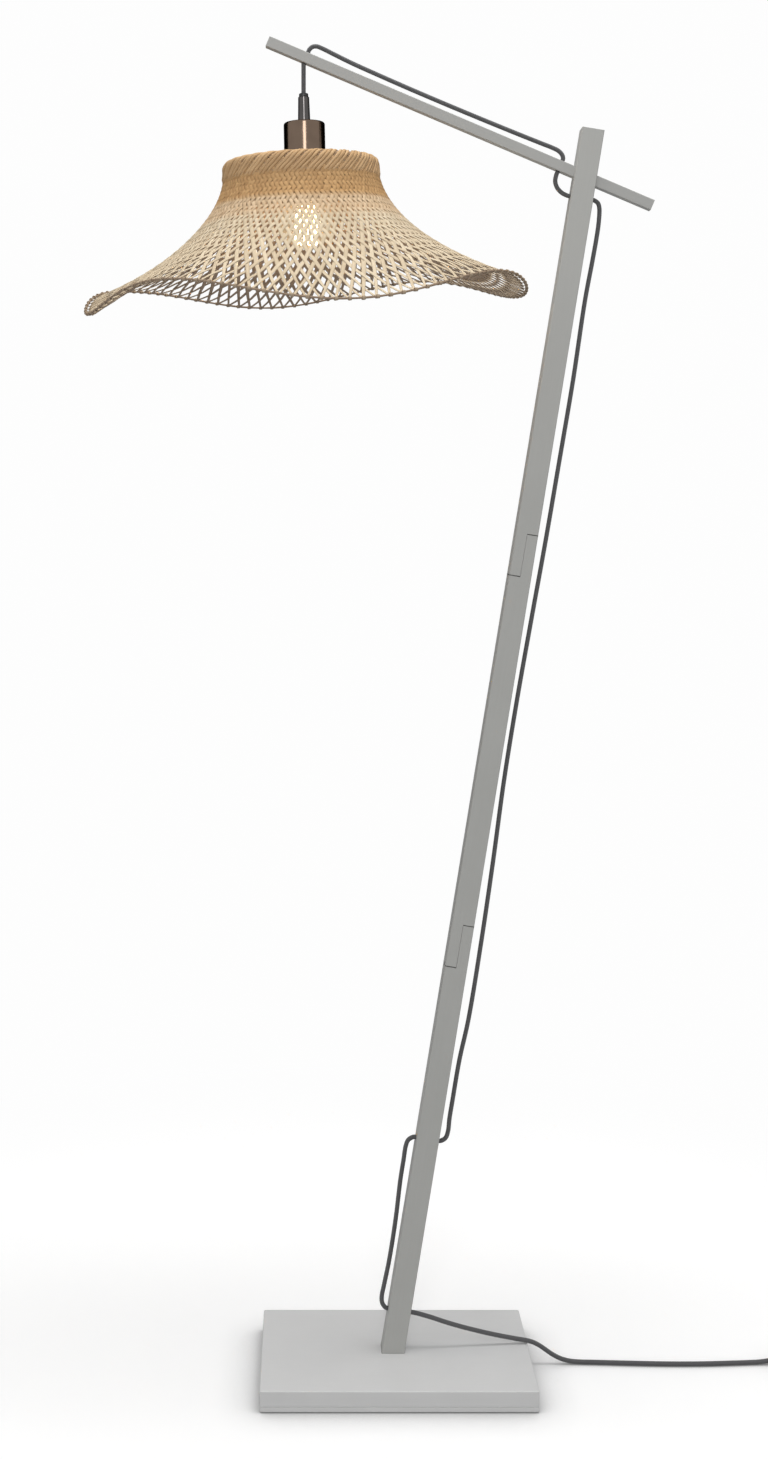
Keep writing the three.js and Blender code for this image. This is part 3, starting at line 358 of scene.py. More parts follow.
def cord_cloth():
    """Braided cover: u runs once round the cord, v is metres along it."""
    material, tree, surface = new_material("cord_cloth")
    yarns, lay = 16, 9 * MM
    weave = []
    for side in (1, -1):
        place = coordinates(tree, "UV", scale=(yarns / 2, side * yarns / 4 / lay, 1))
        split = add_node(tree, "ShaderNodeSeparateXYZ", {0: place})
        turn = maths(tree, "ADD", split.outputs[0], split.outputs[1])
        weave.append(maths(tree, "SINE", maths(tree, "MULTIPLY", turn, 2 * math.pi)))
    braid = maths(tree, "MULTIPLY", weave[0], weave[1])
    fuzz = noise(tree, coordinates(tree), scale=3000)
    tone = ramp(tree, weighted_sum(tree, braid, 0.3, fuzz, 1), 0.2, 0.9)
    fill_inputs(tree, surface, {
        "Base Color": blend_colour(tree, tone, (0.06, 0.06, 0.062), (0.15, 0.15, 0.155)),
        "Roughness": 0.88,
        "Sheen Weight": 0.25,
        "Normal": bump(tree, braid, 0.12 * MM, 0.8),
    })
    return material


def bamboo():
    """Split bamboo, whose v runs along the strand. The mesh's depth is the share of the way down the shade,
    tone differs from strand to strand, and inside is 1 on the face that looks into the shade."""
    # Paler down the shade and darker towards the crown: partly the bamboo's own tone, partly painted shade
    # where no light comes through the close weave
    shoulder, band = (0.61, 0.41, 0.22), (0.54, 0.33, 0.147)
    collar, skirt = (0.65, 0.49, 0.32), (0.65, 0.55, 0.4)
    skins_and_shade = [(0.04, shoulder), (0.1, band), (0.27, band), (0.31, collar), (0.4, collar), (0.46, skirt)]
    darkening, lightening = (0.68, 0.62, 0.55), (1.7, 1.7, 1.7)
    # The faces that look into the lampshade get a much darker brown: painted shade of its inside
    inside_shade_above, inside_shade_brim = (0.24, 0.16, 0.1), (0.2, 0.142, 0.096)

    material, tree, surface = new_material("woven_bamboo")
    fibre = noise(tree, coordinates(tree, "UV", scale=(9, 55, 1)), scale=2.2, detail=4, roughness=0.65)
    patch = noise(tree, coordinates(tree, "UV", scale=(0.8, 14, 1)), scale=1, detail=2)
    streak = weighted_sum(tree, fibre, 0.6, patch, 0.4)
    depth = attribute(tree, "depth")
    skin = colour_ramp(tree, depth, skins_and_shade)
    age = ramp(tree, weighted_sum(tree, attribute(tree, "tone"), 0.4, streak, 0.85), 0.3, 1.0)
    outer = blend_colour(tree, age, skin, blend_colour(tree, 1.0, skin, darkening, "MULTIPLY"))
    back = blend_colour(tree, ramp(tree, depth, 0.7, 0.95), inside_shade_above, inside_shade_brim)
    back = blend_colour(tree, streak, back, blend_colour(tree, 1.0, back, lightening, "MULTIPLY"))
    fill_inputs(tree, surface, {
        "Base Color": blend_colour(tree, ramp(tree, attribute(tree, "inside"), 0.35, 0.65), outer, back),
        "Roughness": ramp(tree, fibre, 0.3, 0.7, 0.5, 0.72),
        "Normal": bump(tree, fibre, 0.15 * MM, 0.7),
    })
    return material


def turned_wood():
    material, tree, surface = new_material("turned_wood")
    grain = noise(tree, coordinates(tree, scale=(0.12, 1, 1)), scale=420, detail=4)
    rings = ramp(tree, grain, 0.3, 0.7)
    fill_inputs(tree, surface, {
        "Base Color": blend_colour(tree, rings, (0.45, 0.28, 0.13), (0.27, 0.15, 0.065)),
        "Roughness": 0.6,
        "Normal": bump(tree, grain, 0.1 * MM),
    })
    return material


def warm_glass():
    material, tree, surface = new_material("bulb_glass")
    cloud = noise(tree, coordinates(tree), scale=30, detail=2)
    fill_inputs(tree, surface, {
        "Base Color": blend_colour(tree, cloud, (0.05, 0.036, 0.02), (0.06, 0.048, 0.032)),
        "Roughness": 0.06,
        "Alpha": 0.2,
        "Emission Color": (1.0, 0.78, 0.48, 1),
        "Emission Strength": 0.5,
    })
    return material


def filament_glow():
    material, tree, surface = new_material("bulb_glow")
    beads = noise(tree, coordinates(tree), scale=700, detail=2)
    fill_inputs(tree, surface, {
        "Base Color": blend_colour(tree, beads, (1.0, 0.8, 0.45), (1.0, 0.7, 0.3)),
        "Emission Color": (1.0, 0.78, 0.42, 1),
        "Emission Strength": 14,
    })
    return material


# Finishes of the model's own nodes
SHARP_ANGLE = math.radians(34)
WELD_DISTANCE = 0.001 * MM


def soften_group():
    """Geometry nodes that weld the imported corners and shade all but the sharp edges smooth."""
    group = bpy.data.node_groups.new("soften", "GeometryNodeTree")
    for direction in ("INPUT", "OUTPUT"):
        group.interface.new_socket("Geometry", in_out=direction, socket_type="NodeSocketGeometry")
    start = add_node(group, "NodeGroupInput").outputs[0]
    weld = add_node(group, "GeometryNodeMergeByDistance", {"Geometry": start, "Distance": WELD_DISTANCE})
    smooth = add_node(group, "GeometryNodeSetShadeSmooth", {"Geometry": weld.outputs[0]})
    bend = add_node(group, "GeometryNodeInputMeshEdgeAngle").outputs["Unsigned Angle"]
    sharp = add_node(group, "FunctionNodeCompare", {0: bend, 1: SHARP_ANGLE}, operation="GREATER_THAN")
    edges = add_node(group, "GeometryNodeSetShadeSmooth",
                     {"Geometry": smooth.outputs[0], "Selection": sharp.outputs["Result"],
                      "Shade Smooth": False}, domain="EDGE")
    add_node(group, "NodeGroupOutput", {0: edges.outputs[0]})
    return group


def dress_nodes():
    # One grey paint in lit and shaded copies: darker on the post and boom, paler on the base and its plate,
    # as painted light and shade for how the light falls on them
    post_paint_shaded = paint("post_paint_shaded", light=(0.435, 0.437, 0.42), dark=(0.405, 0.407, 0.39),
                       worn=(0.47, 0.468, 0.445), rotation=(0, -POST_LEAN, 0))
    boom_paint_shaded = paint("boom_paint_shaded", light=(0.405, 0.406, 0.392), dark=(0.377, 0.378, 0.364),
                       worn=(0.437, 0.435, 0.415), rotation=(0, -BOOM_DROP - math.pi / 2, 0))
    pale, grey, rubbed = (0.68, 0.682, 0.68), (0.645, 0.647, 0.645), (0.71, 0.71, 0.7)
    lying = (0, -math.pi / 2, 0)
    base_paint_lit = paint("base_paint_lit", light=pale, dark=grey, worn=rubbed, rotation=lying)
    plate_paint_lit = paint("plate_paint_lit", light=grey, dark=pale, worn=rubbed, rotation=lying)
    steel = metal("steel", (0.56, 0.57, 0.58), 0.35)
    brass = metal("brass", (0.6, 0.45, 0.2), 0.3)
    black = plastic("black_plastic", (0.014, 0.014, 0.015), 0.42)
    finishes = {
        "base_pad": felt(),
        "base_weight": plate_paint_lit,
        "base_slab": base_paint_lit,
        "boom": boom_paint_shaded,
        "boom_screw": post_paint_shaded,
        # The grip's and cup's black edge colour is a painted dark reflection at their sides
        "cord_grip": metal("dark_chrome", (0.1, 0.094, 0.092), 0.1, edge=(0, 0, 0)),
        "lampholder_cup": metal("bronze", (0.175, 0.126, 0.094), 0.15, edge=(0, 0, 0)),
        "bulb_cap": metal("bare_aluminium", (0.65, 0.65, 0.66), 0.35),
        "bulb_glass": warm_glass(),
        "bulb_stem": filament_glow(),
        "centre_ring": turned_wood(),
        "switch_rocker": plastic("gloss_black", (0.01, 0.01, 0.011), 0.2),
    }
    soften = soften_group()
    for name, piece in nodes.items():
        if name in finishes:
            finish = finishes[name]
        elif name.startswith(("post_", "upper_splice", "lower_splice")):
            finish = post_paint_shaded
        elif "screw" in name or name in ("grip_nipple", "nipple_nut"):
            finish = steel
        elif name in ("socket_shell", "centre_contact") or name.startswith("plug_pin"):
            finish = brass
        else:
            finish = black
        piece.data.materials.clear()
        piece.data.materials.append(finish)
        piece.modifiers.new("soften", "NODES").node_group = soften


def lap_lines():
    """Dark lines where the ends of the post's half laps meet the next length."""
    half = POST_WIDTH / 2
    flat = half - POST_CHAMFER
    half_width, proud = 0.55 * MM, 0.08 * MM
    path = np.array([(0, -half), (flat, -half), (half, -flat), (half, flat), (flat, half), (0, half)])
    lines, outward = [], []
    for lap in LAP_PLACES:
        for side in (1, -1):
            height = np.full(len(path), lap + side * LAP_LENGTH / 2 + SEAT_GAP / 2)
            lines.append(np.stack([path[:, 0] * side, path[:, 1], height], -1))
            outward.append(side)
    lines = np.array(lines)
    tangents = along(lines)
    ups = np.cross(tangents, UP) * np.array(outward)[:, None, None]
    square = [(1, 1), (-1, 1), (-1, -1), (1, -1)]
    swept = sweep(lines, np.cross(ups, tangents) * half_width, ups * proud, square)
    post = Matrix.Translation(POST_FOOT) @ Matrix.Rotation(POST_LEAN, 4, "Y")
    finish = plastic("lap_line", (0.07, 0.07, 0.066), 0.7)
    new_piece("lap_lines", *swept, "stand", "painted_wood", finish, post)


# Cords. Their routes and the coil's sizes are in millimetres.
LAMP_CORD_ROUTE = [
    (-102.5, 0, 1470.1), (-98.4, 0, 1479.9), (-96.8, 0, 1483.6), (-93.3, 0, 1487), (-88.2, 0, 1487.6),
    (-82, 0, 1485.3), (-69, 0.4, 1478.9), (-48.6, 1, 1469), (-12.1, 1.4, 1452.7), (24.5, 1, 1436.6),
    (61.3, 0.2, 1420.8), (98.1, -0.6, 1405.3), (135.1, -1, 1390.1), (163, -0.6, 1379),
    (176.4, -0.2, 1373.8), (183.6, 0, 1370.2), (187.9, 0, 1365.3), (188.7, 0, 1361.1), (187.5, 0, 1358.1),
    (182.8, 0, 1347.1), (181.2, 0, 1343.4), (179.9, 0, 1336), (182, 0, 1328.9), (187, 0, 1323.3),
    (193.4, 0, 1319.9), (196.5, 0, 1319.2), (221.2, 0, 1315.1), (224, 0, 1314.4), (228, 0, 1311.2),
    (229.5, 0, 1305.6), (228.9, 0.4, 1290), (226.4, 0.8, 1272), (222.1, 1.2, 1247.5), (213.7, 1.6, 1202.5),
    (200.2, 1.4, 1112.6), (184.8, 0.6, 1022.6), (169.2, -0.4, 932.6), (152.8, -1, 842.7),
    (136.8, -0.8, 752.7), (122.4, 0, 662.8), (110.3, 0.8, 572.8), (97.2, 1.4, 482.8), (82.4, 1.6, 392.9),
    (72.3, 1.2, 347.9), (64.5, 0.6, 302.9), (61, 0.2, 282), (59.3, 0, 267.6), (56.6, 0, 260.4),
    (51.2, 0, 257.1), (48, 0, 257.2), (23.3, 0, 261.3), (20, 0, 261.3), (14.6, 0, 258), (11.9, 0, 251.6),
    (9.4, 0.2, 236), (5.8, 0.6, 213), (0.4, 1, 168.1), (-6.7, 0.8, 123.1), (-12.4, 0.2, 96),
    (-15.2, 0, 82), (-14.6, 0, 74.8), (-11.2, 0, 69.9), (-8.2, 0, 68.8), (3.9, 0, 66.9),
]
FLOOR_CORD_ROUTE = [
    (4.3, 0, 66.8), (16.5, 0, 64.8), (24, 0.2, 63.2), (40, 1.4, 58.2), (57, 3.2, 51.8),
    (74, 5.2, 46), (91, 7.2, 40.8), (108, 9.2, 36), (125, 10.8, 31.9), (140, 12, 28.7),
    (150, 12.6, 26.7), (157, 12.9, 24.5), (164, 13.1, 20.8), (171, 13.2, 16), (178.5, 13.3, 10.8),
    (187, 13.2, 6.5), (197, 13, 3.7), (209, 12.6, 2.7), (224, 12, 2.6), (246, 10.8, 2.6),
    (272, 9.4, 2.6), (300, 8.2, 2.6), (328, 7.8, 2.6), (354, 8.4, 2.6), (378, 9.8, 2.6),
    (398, 11.2, 2.6), (412, 11.9, 2.9), (423, 12.2, 4.2), (432, 12.2, 6), (440, 12.2, 6.9),
    (448.7, 12.2, 7),
]
THROUGH_SWITCH = [(460, 12.2, 5.6), (482, 12.2, 5.6)]
SWITCH_LEAD_ROUTE = [
    (493.3, 12.2, 7), (502, 12.2, 6.9), (510, 12.2, 6), (519, 12.2, 4.3), (528, 12.2, 3.1),
    (537, 12.2, 2.65), (545.7, 12.2, 2.6),
]
PLUG_LEAD_ROUTE = [(584.94, 61.14, 8.1), (584.94, 71, 7.5), (584.94, 81.14, 6.85), (584.94, 98.14, 6.85)]
COIL_CENTRE = (546, 51.1375)
COIL_INNER_RADIUS = 19
COIL_PITCH = 5.5
COIL_TURNS = 7.25
COIL_CLIMB_TURNS = 0.5
COIL_STEPS_PER_TURN = 24
CORD_ON_FLOOR = 2.6

# How finely the cords are made, and how far their braid stands proud
CORD_STEP = 1 * MM
CORD_CORNERS = 16
BRAID_RELIEF = 0.16 * MM


def coil_route():
    """Two layers of turns, one spiral in and the next out."""
    turn = np.linspace(0, COIL_TURNS, round(COIL_TURNS * COIL_STEPS_PER_TURN) + 1)
    middle = COIL_TURNS / 2
    radius = COIL_INNER_RADIUS + COIL_PITCH * np.abs(turn - middle)
    share = np.clip((turn - middle) / COIL_CLIMB_TURNS + 0.5, 0, 1)
    rise = CORD_ON_FLOOR + COIL_PITCH * share * share * (3 - 2 * share)
    angle = (turn - 0.25) * 2 * math.pi
    x = COIL_CENTRE[0] + radius * np.cos(angle)
    y = COIL_CENTRE[1] + radius * np.sin(angle)
    return np.stack([x, y, rise], -1).tolist()


def passing(t, start, end, first, second):
    """The point at t on the way from first, at start, to second, at end."""
    return ((end - t) * first + (t - start) * second) / (end - start)


def smooth_line(route):
    """A centripetal Catmull-Rom curve through the route's points, in metres, with even steps."""
    points = np.asarray(route, float) * MM
    points = np.concatenate([2 * points[:1] - points[1:2], points, 2 * points[-1:] - points[-2:-1]])
    fine_steps = 24
    fine = []
    for a, b, c, d in zip(points, points[1:], points[2:], points[3:]):
        gaps = [max(np.linalg.norm(q - p), 1e-6) ** 0.5 for p, q in ((a, b), (b, c), (c, d))]
        k0, k1, k2, k3 = np.cumsum([0, *gaps])
        t = np.linspace(k1, k2, fine_steps, endpoint=False)[:, None]
        ab, bc, cd = passing(t, k0, k1, a, b), passing(t, k1, k2, b, c), passing(t, k2, k3, c, d)
        abc, bcd = passing(t, k0, k2, ab, bc), passing(t, k1, k3, bc, cd)
        fine.append(passing(t, k1, k2, abc, bcd))
    fine = np.concatenate([*fine, points[-2:-1]])
    reach = np.concatenate([[0], np.cumsum(np.linalg.norm(np.diff(fine, axis=0), axis=1))])
    even = np.linspace(0, reach[-1], max(2, round(reach[-1] / CORD_STEP)) + 1)
    return np.stack([np.interp(even, reach, fine[:, i]) for i in range(3)], -1)


def make_cord(name, line, body, finish):
    """A braided cord and its length. Every other corner of its fine tube stands a little proud."""
    tangents = along(line[None])[0]
    up = np.array([0.0, 1.0, 0.0])
    ups = []
    for tangent in tangents:
        up = unit(up - tangent * (up @ tangent))
        ups.append(up)
    ups = np.array(ups)
    sides = np.cross(ups, tangents)
    radius = CORD_DIAMETER / 2
    points, faces, uvs = sweep(line[None], sides[None] * radius, ups[None] * radius, circle(CORD_CORNERS))
    rings = points.reshape(len(line), CORD_CORNERS, 3)
    raised = (np.arange(len(line))[:, None] + np.arange(CORD_CORNERS)) % 2
    outward = unit(rings - line[:, None])
    points = (rings + outward * ((raised - 0.5) * BRAID_RELIEF)[..., None]).reshape(-1, 3)
    piece = new_piece(name, points, faces, uvs, body, "cord_cloth", finish)
    length = float(np.linalg.norm(np.diff(line, axis=0), axis=1).sum())
    return piece, length


def make_cords():
    finish = cord_cloth()
    line = smooth_line(LAMP_CORD_ROUTE)
    lamp_cord, length = make_cord("threaded_cord", line, "stand", finish)
    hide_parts("lamp_cord")

    route = FLOOR_CORD_ROUTE + THROUGH_SWITCH + SWITCH_LEAD_ROUTE + coil_route()[1:] + PLUG_LEAD_ROUTE
    line = smooth_line(route)
    lead, length = make_cord("mains_cord", line, "stand", finish)
    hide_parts("floor_cord", "switch_lead", "cord_coil", "plug_lead")

    low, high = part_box("drop_cord_upper")
    foot, joined = (corner.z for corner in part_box("drop_cord_lower"))
    x, y = (low.x + high.x) / 2, (low.y + high.y) / 2
    steps = round((high.z - foot) / CORD_STEP) + 1
    line = np.stack([np.full(steps, x), np.full(steps, y), np.linspace(high.z, foot, steps)], -1)
    drop, length = make_cord("drop_cord", line, None, finish)
    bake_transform(drop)
    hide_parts("drop_cord_upper", "drop_cord_lower")


# Shade: its surface is worked out from the share of the way down its side and the angle round it
STRANDS = 108
STRAND_THICKNESS = 0.9 * MM
STEPS_PER_ROW = 4
SHOULDER_TO_BRIM = WOVEN_RADIUS - CROWN_RADIUS - SHOULDER_RADIUS
RIM_STRAND_RADIUS = 1.2 * MM

# The corners of a flat strip's section and of a rounder reed's. STRIP_WRAP has their u, from the first corner
# round to it again, and STRIP_INSIDE the face that they are on: 1 is the one that looks into the shade.
STRIP = [(1, 0), (0.76, 1), (-0.76, 1), (-1, 0), (-0.76, -1), (0.76, -1)]
REED = [(1, 0), (0.5, 1), (-0.5, 1), (-1, 0), (-0.5, -1), (0.5, -1)]
STRIP_WRAP = [1, 0.8, 0.2, 0, 0.2, 0.8, 1]
STRIP_INSIDE = [0.5, 0, 0, 0.5, 1, 1]


def brim_rise(angle):
    tilt = BRIM_DROOP * np.sin(angle) - BRIM_SIDE_LIFT * np.cos(angle)
    wave = BRIM_WAVE * np.cos(BRIM_LOBES * angle + BRIM_WAVE_PHASE)
    past = np.arctan2(np.sin(angle - BRIM_CURL_PLACE), np.cos(angle - BRIM_CURL_PLACE))
    curl = BRIM_CURL * np.sin(BRIM_CURL_RATE * past) * np.exp(-(past / BRIM_CURL_SPREAD) ** 2)
    return BRIM_LIFT + tilt + wave - curl


def on_side(share, angle, out=0.0):
    """Points on the shade's side, out from the middle of its wall. share may be under 0 at the shoulder."""
    share = np.maximum(share, 0)
    slope = SHOULDER_TO_BRIM * FLARE_POWER * share ** (FLARE_POWER - 1) / SIDE_DEPTH
    tip = np.hypot(1, slope)
    inset = SHADE_WALL / 2 - out
    radius = CROWN_RADIUS + SHOULDER_RADIUS + SHOULDER_TO_BRIM * share ** FLARE_POWER - inset / tip
    rise = brim_rise(angle) * share ** (FLARE_POWER * WAVE_POWER)
    z = -SHOULDER_RADIUS - SIDE_DEPTH * share + rise - inset * slope / tip
    return np.stack([radius * np.cos(angle), radius * np.sin(angle), z], -1)


def side_normal(share, angle):
    step = 1e-3
    down = on_side(np.minimum(share, 1 - step) + step, angle) - on_side(np.minimum(share, 1 - step), angle)
    around = on_side(share, angle + step) - on_side(share, angle)
    return unit(np.cross(down, around))


def over_shoulder(reach, angle, out):
    """Points and normals over the shoulder. reach is metres up from its foot: down the side where it is
    negative, and in over the crown past the shoulder's quarter turn."""
    reach, angle = np.broadcast_arrays(reach, angle)
    radius = SHOULDER_RADIUS - SHADE_WALL / 2
    quarter = radius * math.pi / 2
    turn = np.clip(reach / radius, 0, math.pi / 2)
    below = np.minimum(reach, 0)
    past = np.maximum(reach - quarter, 0)
    flare = SHOULDER_TO_BRIM * (-below / SIDE_DEPTH) ** FLARE_POWER
    flat = CROWN_RADIUS + (radius + out) * np.cos(turn) - past + flare
    z = -SHOULDER_RADIUS + (radius + out) * np.sin(turn) + below
    points = np.stack([flat * np.cos(angle), flat * np.sin(angle), z], -1)
    normals = np.stack([np.cos(turn) * np.cos(angle), np.cos(turn) * np.sin(angle), np.sin(turn)], -1)
    return points, normals


def weave_turns():
    """How far a strand has turned round the shade at each share of its way down, and the number of rows of
    crossings. They are worked out down the side at one angle, and used all round."""
    steps, guide_angle = 800, 0.35
    share = np.linspace(0, 1, steps + 1)
    side = on_side(share, np.full_like(share, guide_angle))
    radius = np.hypot(side[:, 0], side[:, 1])
    spans = np.linalg.norm(np.diff(side, axis=0), axis=1)
    lean = np.radians(np.interp(share, [0, 0.5, 0.7, 1], [27, 24, 19, 17]))
    rate = np.tan(lean) / radius
    turned = np.concatenate([[0], np.cumsum((rate[1:] + rate[:-1]) / 2 * spans)])
    rows = round(STRANDS * turned[-1] / math.pi)
    return share, turned * (rows * math.pi / STRANDS) / turned[-1], rows


def strip_attributes(tones, depths, inside=STRIP_INSIDE):
    """The bamboo's attributes, from a tone for each line and a depth for each of its steps."""
    shape = (*depths.shape, len(inside))
    return {
        "tone": np.broadcast_to(tones[:, None, None], shape),
        "depth": np.broadcast_to(depths[..., None], shape),
        "inside": np.broadcast_to(np.asarray(inside), shape),
    }


def shade_piece(name, swept, shade_matrix, finish, attributes):
    return new_piece(name, *swept, "pendant", "woven_bamboo", finish, shade_matrix, attributes)


def weave_strands(name, side, shade_matrix, finish):
    """The strands that turn one way round the shade, over and under those that turn the other way."""
    share_table, turn_table, rows = weave_turns()
    row = np.arange(rows * STEPS_PER_ROW + 1) / STEPS_PER_ROW
    turn = row * math.pi / STRANDS
    share = np.interp(turn, turn_table, share_table)
    starts = np.arange(STRANDS) / STRANDS * 2 * math.pi

    # Each strand sways a little on its way, but not where it starts and ends
    sway_size, sway_rate, sway_shift = 0.32 * MM, 4.3, 5
    wander = rng.normal(size=(STRANDS, 3))[..., None]
    sway = sum(wander[:, i] * np.sin(share * (i + 1) * sway_rate + wander[:, i] * sway_shift)
               for i in range(3))
    settle = np.clip(np.minimum(share * 8, (1 - share) * 12), 0, 1)
    radius = CROWN_RADIUS + (WOVEN_RADIUS - CROWN_RADIUS) * share ** 2
    angle = starts[:, None] + side * turn + sway * settle * sway_size / radius
    shares = np.broadcast_to(share, angle.shape)

    # It rises and sinks by a little over half its thickness, out over one strand and in under the next
    lift, uneven_height = STRAND_THICKNESS * 0.55, 0.04 * MM
    height = side * lift * np.cos(math.pi * row) + rng.normal(size=(STRANDS, 1)) * uneven_height
    centres = on_side(shares, angle, height)
    sides, ups = laid_on(centres, side_normal(shares, angle))

    width_places, widths = [0, 0.22, 0.42, 0.6, 0.8, 0.9, 1], [4.5, 4.4, 3.9, 4.2, 4.75, 3.7, 2.7]
    uneven_width, uneven_thickness = 0.07, 0.06
    width = np.interp(share, width_places, widths) * MM * (1 + rng.normal(size=(STRANDS, 1)) * uneven_width)
    thickness = STRAND_THICKNESS * (1 + rng.normal(size=(STRANDS, 1, 1)) * uneven_thickness)
    swept = sweep(centres, sides * width[..., None] / 2, ups * thickness / 2, STRIP, wrap=STRIP_WRAP)
    attributes = strip_attributes(rng.random(STRANDS), shares)
    return shade_piece(name, swept, shade_matrix, finish, attributes)


def shoulder_ropes(name, side, out, inside, shade_matrix, finish):
    """Bundles of strands that slant one way over the shoulder and dip under the weave at both ends."""
    ropes, bundle, steps = 30, 3, 22
    slant, filled, end_length = 0.95, 0.84, 5 * MM
    bundle_rise, sunk, half_thickness = 0.9 * MM, 1 * MM, 1.2 * MM
    reach = np.linspace(-16 * MM, 19 * MM, steps)
    shown = np.clip(np.minimum(reach - reach[0], reach[-1] - reach) / end_length, 0, 1)
    across = (np.arange(bundle) + 0.5) / bundle - 0.5
    start = (np.arange(ropes)[:, None] + across * filled).reshape(-1, 1) / ropes * 2 * math.pi
    bulge = np.tile(out + bundle_rise * (1 - (2 * across) ** 2), ropes)[:, None]
    angle = start + side * slant * reach / CROWN_RADIUS
    centres, normals = over_shoulder(reach, angle, bulge * shown - sunk * (1 - shown))
    sides, ups = laid_on(centres, normals)
    width = 4.1 * MM * (1 + rng.normal(size=(ropes * bundle, 1, 1)) * 0.06)
    swept = sweep(centres, sides * width / 2, ups * half_thickness, REED, wrap=STRIP_WRAP)
    attributes = strip_attributes(rng.random(ropes * bundle), np.zeros(angle.shape), inside)
    shade_piece(name, swept, shade_matrix, finish, attributes)


def crown_coil(shade_matrix, finish):
    """The crown's flat top: one twisted rope wound from the centre hole to the shoulder."""
    rope_radius, pitch, outer, sunk = 1.55 * MM, 3.15 * MM, 77 * MM, 0.1 * MM
    per_turn, corners, ply_depth, ply_lay = 90, 8, 0.09, 1.1 * pitch
    inner = BORE_RADIUS + rope_radius
    turns = (outer - inner) / pitch
    turn = np.linspace(0, turns, round(turns * per_turn) + 1)
    radius = inner + pitch * turn
    offset = SHADE_OFFSET * (1 - turn / turns)
    angle = turn * 2 * math.pi
    z = np.full_like(turn, -rope_radius - sunk)
    line = np.stack([radius * np.cos(angle) + offset, radius * np.sin(angle), z], -1)[None]
    ups = np.broadcast_to(UP, line.shape)
    sides = np.cross(ups, along(line))
    points, faces, uvs = sweep(line, sides * rope_radius, ups * rope_radius, circle(corners))
    rings = points.reshape(len(turn), corners, 3)
    ply = np.arange(corners) / corners * 4 * math.pi + radius.cumsum()[:, None] / ply_lay
    points = (rings + (rings - line[0][:, None]) * np.sin(ply)[..., None] * ply_depth).reshape(-1, 3)
    shape = (1, len(turn), corners)
    inside = circle(corners)[:, 1] < -0.2
    attributes = {"tone": rng.random((1, len(turn), 1)).repeat(corners, 2) * 0.5 + 0.3,
                  "depth": np.zeros(shape), "inside": np.broadcast_to(inside, shape)}
    shade_piece("crown_coil", (points, faces, uvs), shade_matrix, finish, attributes)


def lining_splints(shade_matrix, finish):
    """Fine upright splints behind the close part of the weave, with ragged ends."""
    count, steps, overlap = 216, 12, 1.04
    foot, behind, half_thickness = 0.36, 1.35 * MM, 0.22 * MM
    spacing = 2 * math.pi / count
    angle = (np.arange(count) * spacing)[:, None] + np.zeros(steps)
    shares = np.linspace(0, foot, steps) * rng.uniform(0.9, 1.06, (count, 1))
    centres = on_side(shares, angle, -behind)
    sides, ups = laid_on(centres, side_normal(shares, angle))
    width = np.hypot(centres[..., 0], centres[..., 1])[..., None] * spacing * overlap
    swept = sweep(centres, sides * width / 2, ups * half_thickness, STRIP, wrap=STRIP_WRAP)
    attributes = strip_attributes(rng.random(count), np.zeros(angle.shape))
    shade_piece("lining_splints", swept, shade_matrix, finish, attributes)


def on_rim(angle):
    """Points on the middle of the rim strand."""
    level = -SHOULDER_RADIUS - SIDE_DEPTH + brim_rise(angle)
    return outward_at(angle) * (BRIM_RADIUS - HOOP_RADIUS) + level[:, None] * UP


def rim_strand(shade_matrix, finish):
    steps = STRANDS * 4
    angle = np.arange(steps) / steps * 2 * math.pi
    line = on_rim(angle)[None]
    tangents = along(line, closed=True)
    ups = unit(np.cross(tangents, outward_at(angle)[None]))
    uneven = 1 + 0.08 * np.sin(angle * 37 + 2 * np.sin(angle * 5))
    radius = RIM_STRAND_RADIUS * uneven[None, :, None]
    swept = sweep(line, np.cross(ups, tangents) * radius, ups * radius, circle(8), closed=True)
    flat = np.ones(len(swept[0]))
    return shade_piece("rim_strand", swept, shade_matrix, finish,
                       {"tone": flat * 0.5, "depth": flat, "inside": flat})


def rim_wraps(shade_matrix, finish):
    """The strand ends, each wrapped once round the rim strand."""
    steps, half_width, half_thickness, uneven_angle = 12, 1.9 * MM, 0.45 * MM, 0.002
    *_, rows = weave_turns()
    round_it = (np.arange(steps) / steps * 2 * math.pi)[:, None]
    angle = (2 * np.arange(STRANDS) + rows) * math.pi / STRANDS + rng.normal(size=STRANDS) * uneven_angle
    outward = outward_at(angle)[:, None] * np.cos(round_it) + UP * np.sin(round_it)
    line = on_rim(angle)[:, None] + outward * (RIM_STRAND_RADIUS + half_thickness)
    sides = np.cross(outward, along(line, closed=True))
    swept = sweep(line, sides * half_width, outward * half_thickness, STRIP, closed=True, wrap=STRIP_WRAP)
    attributes = strip_attributes(rng.random(STRANDS), np.ones((STRANDS, steps)), [0.55] * len(STRIP))
    shade_piece("rim_wraps", swept, shade_matrix, finish, attributes)


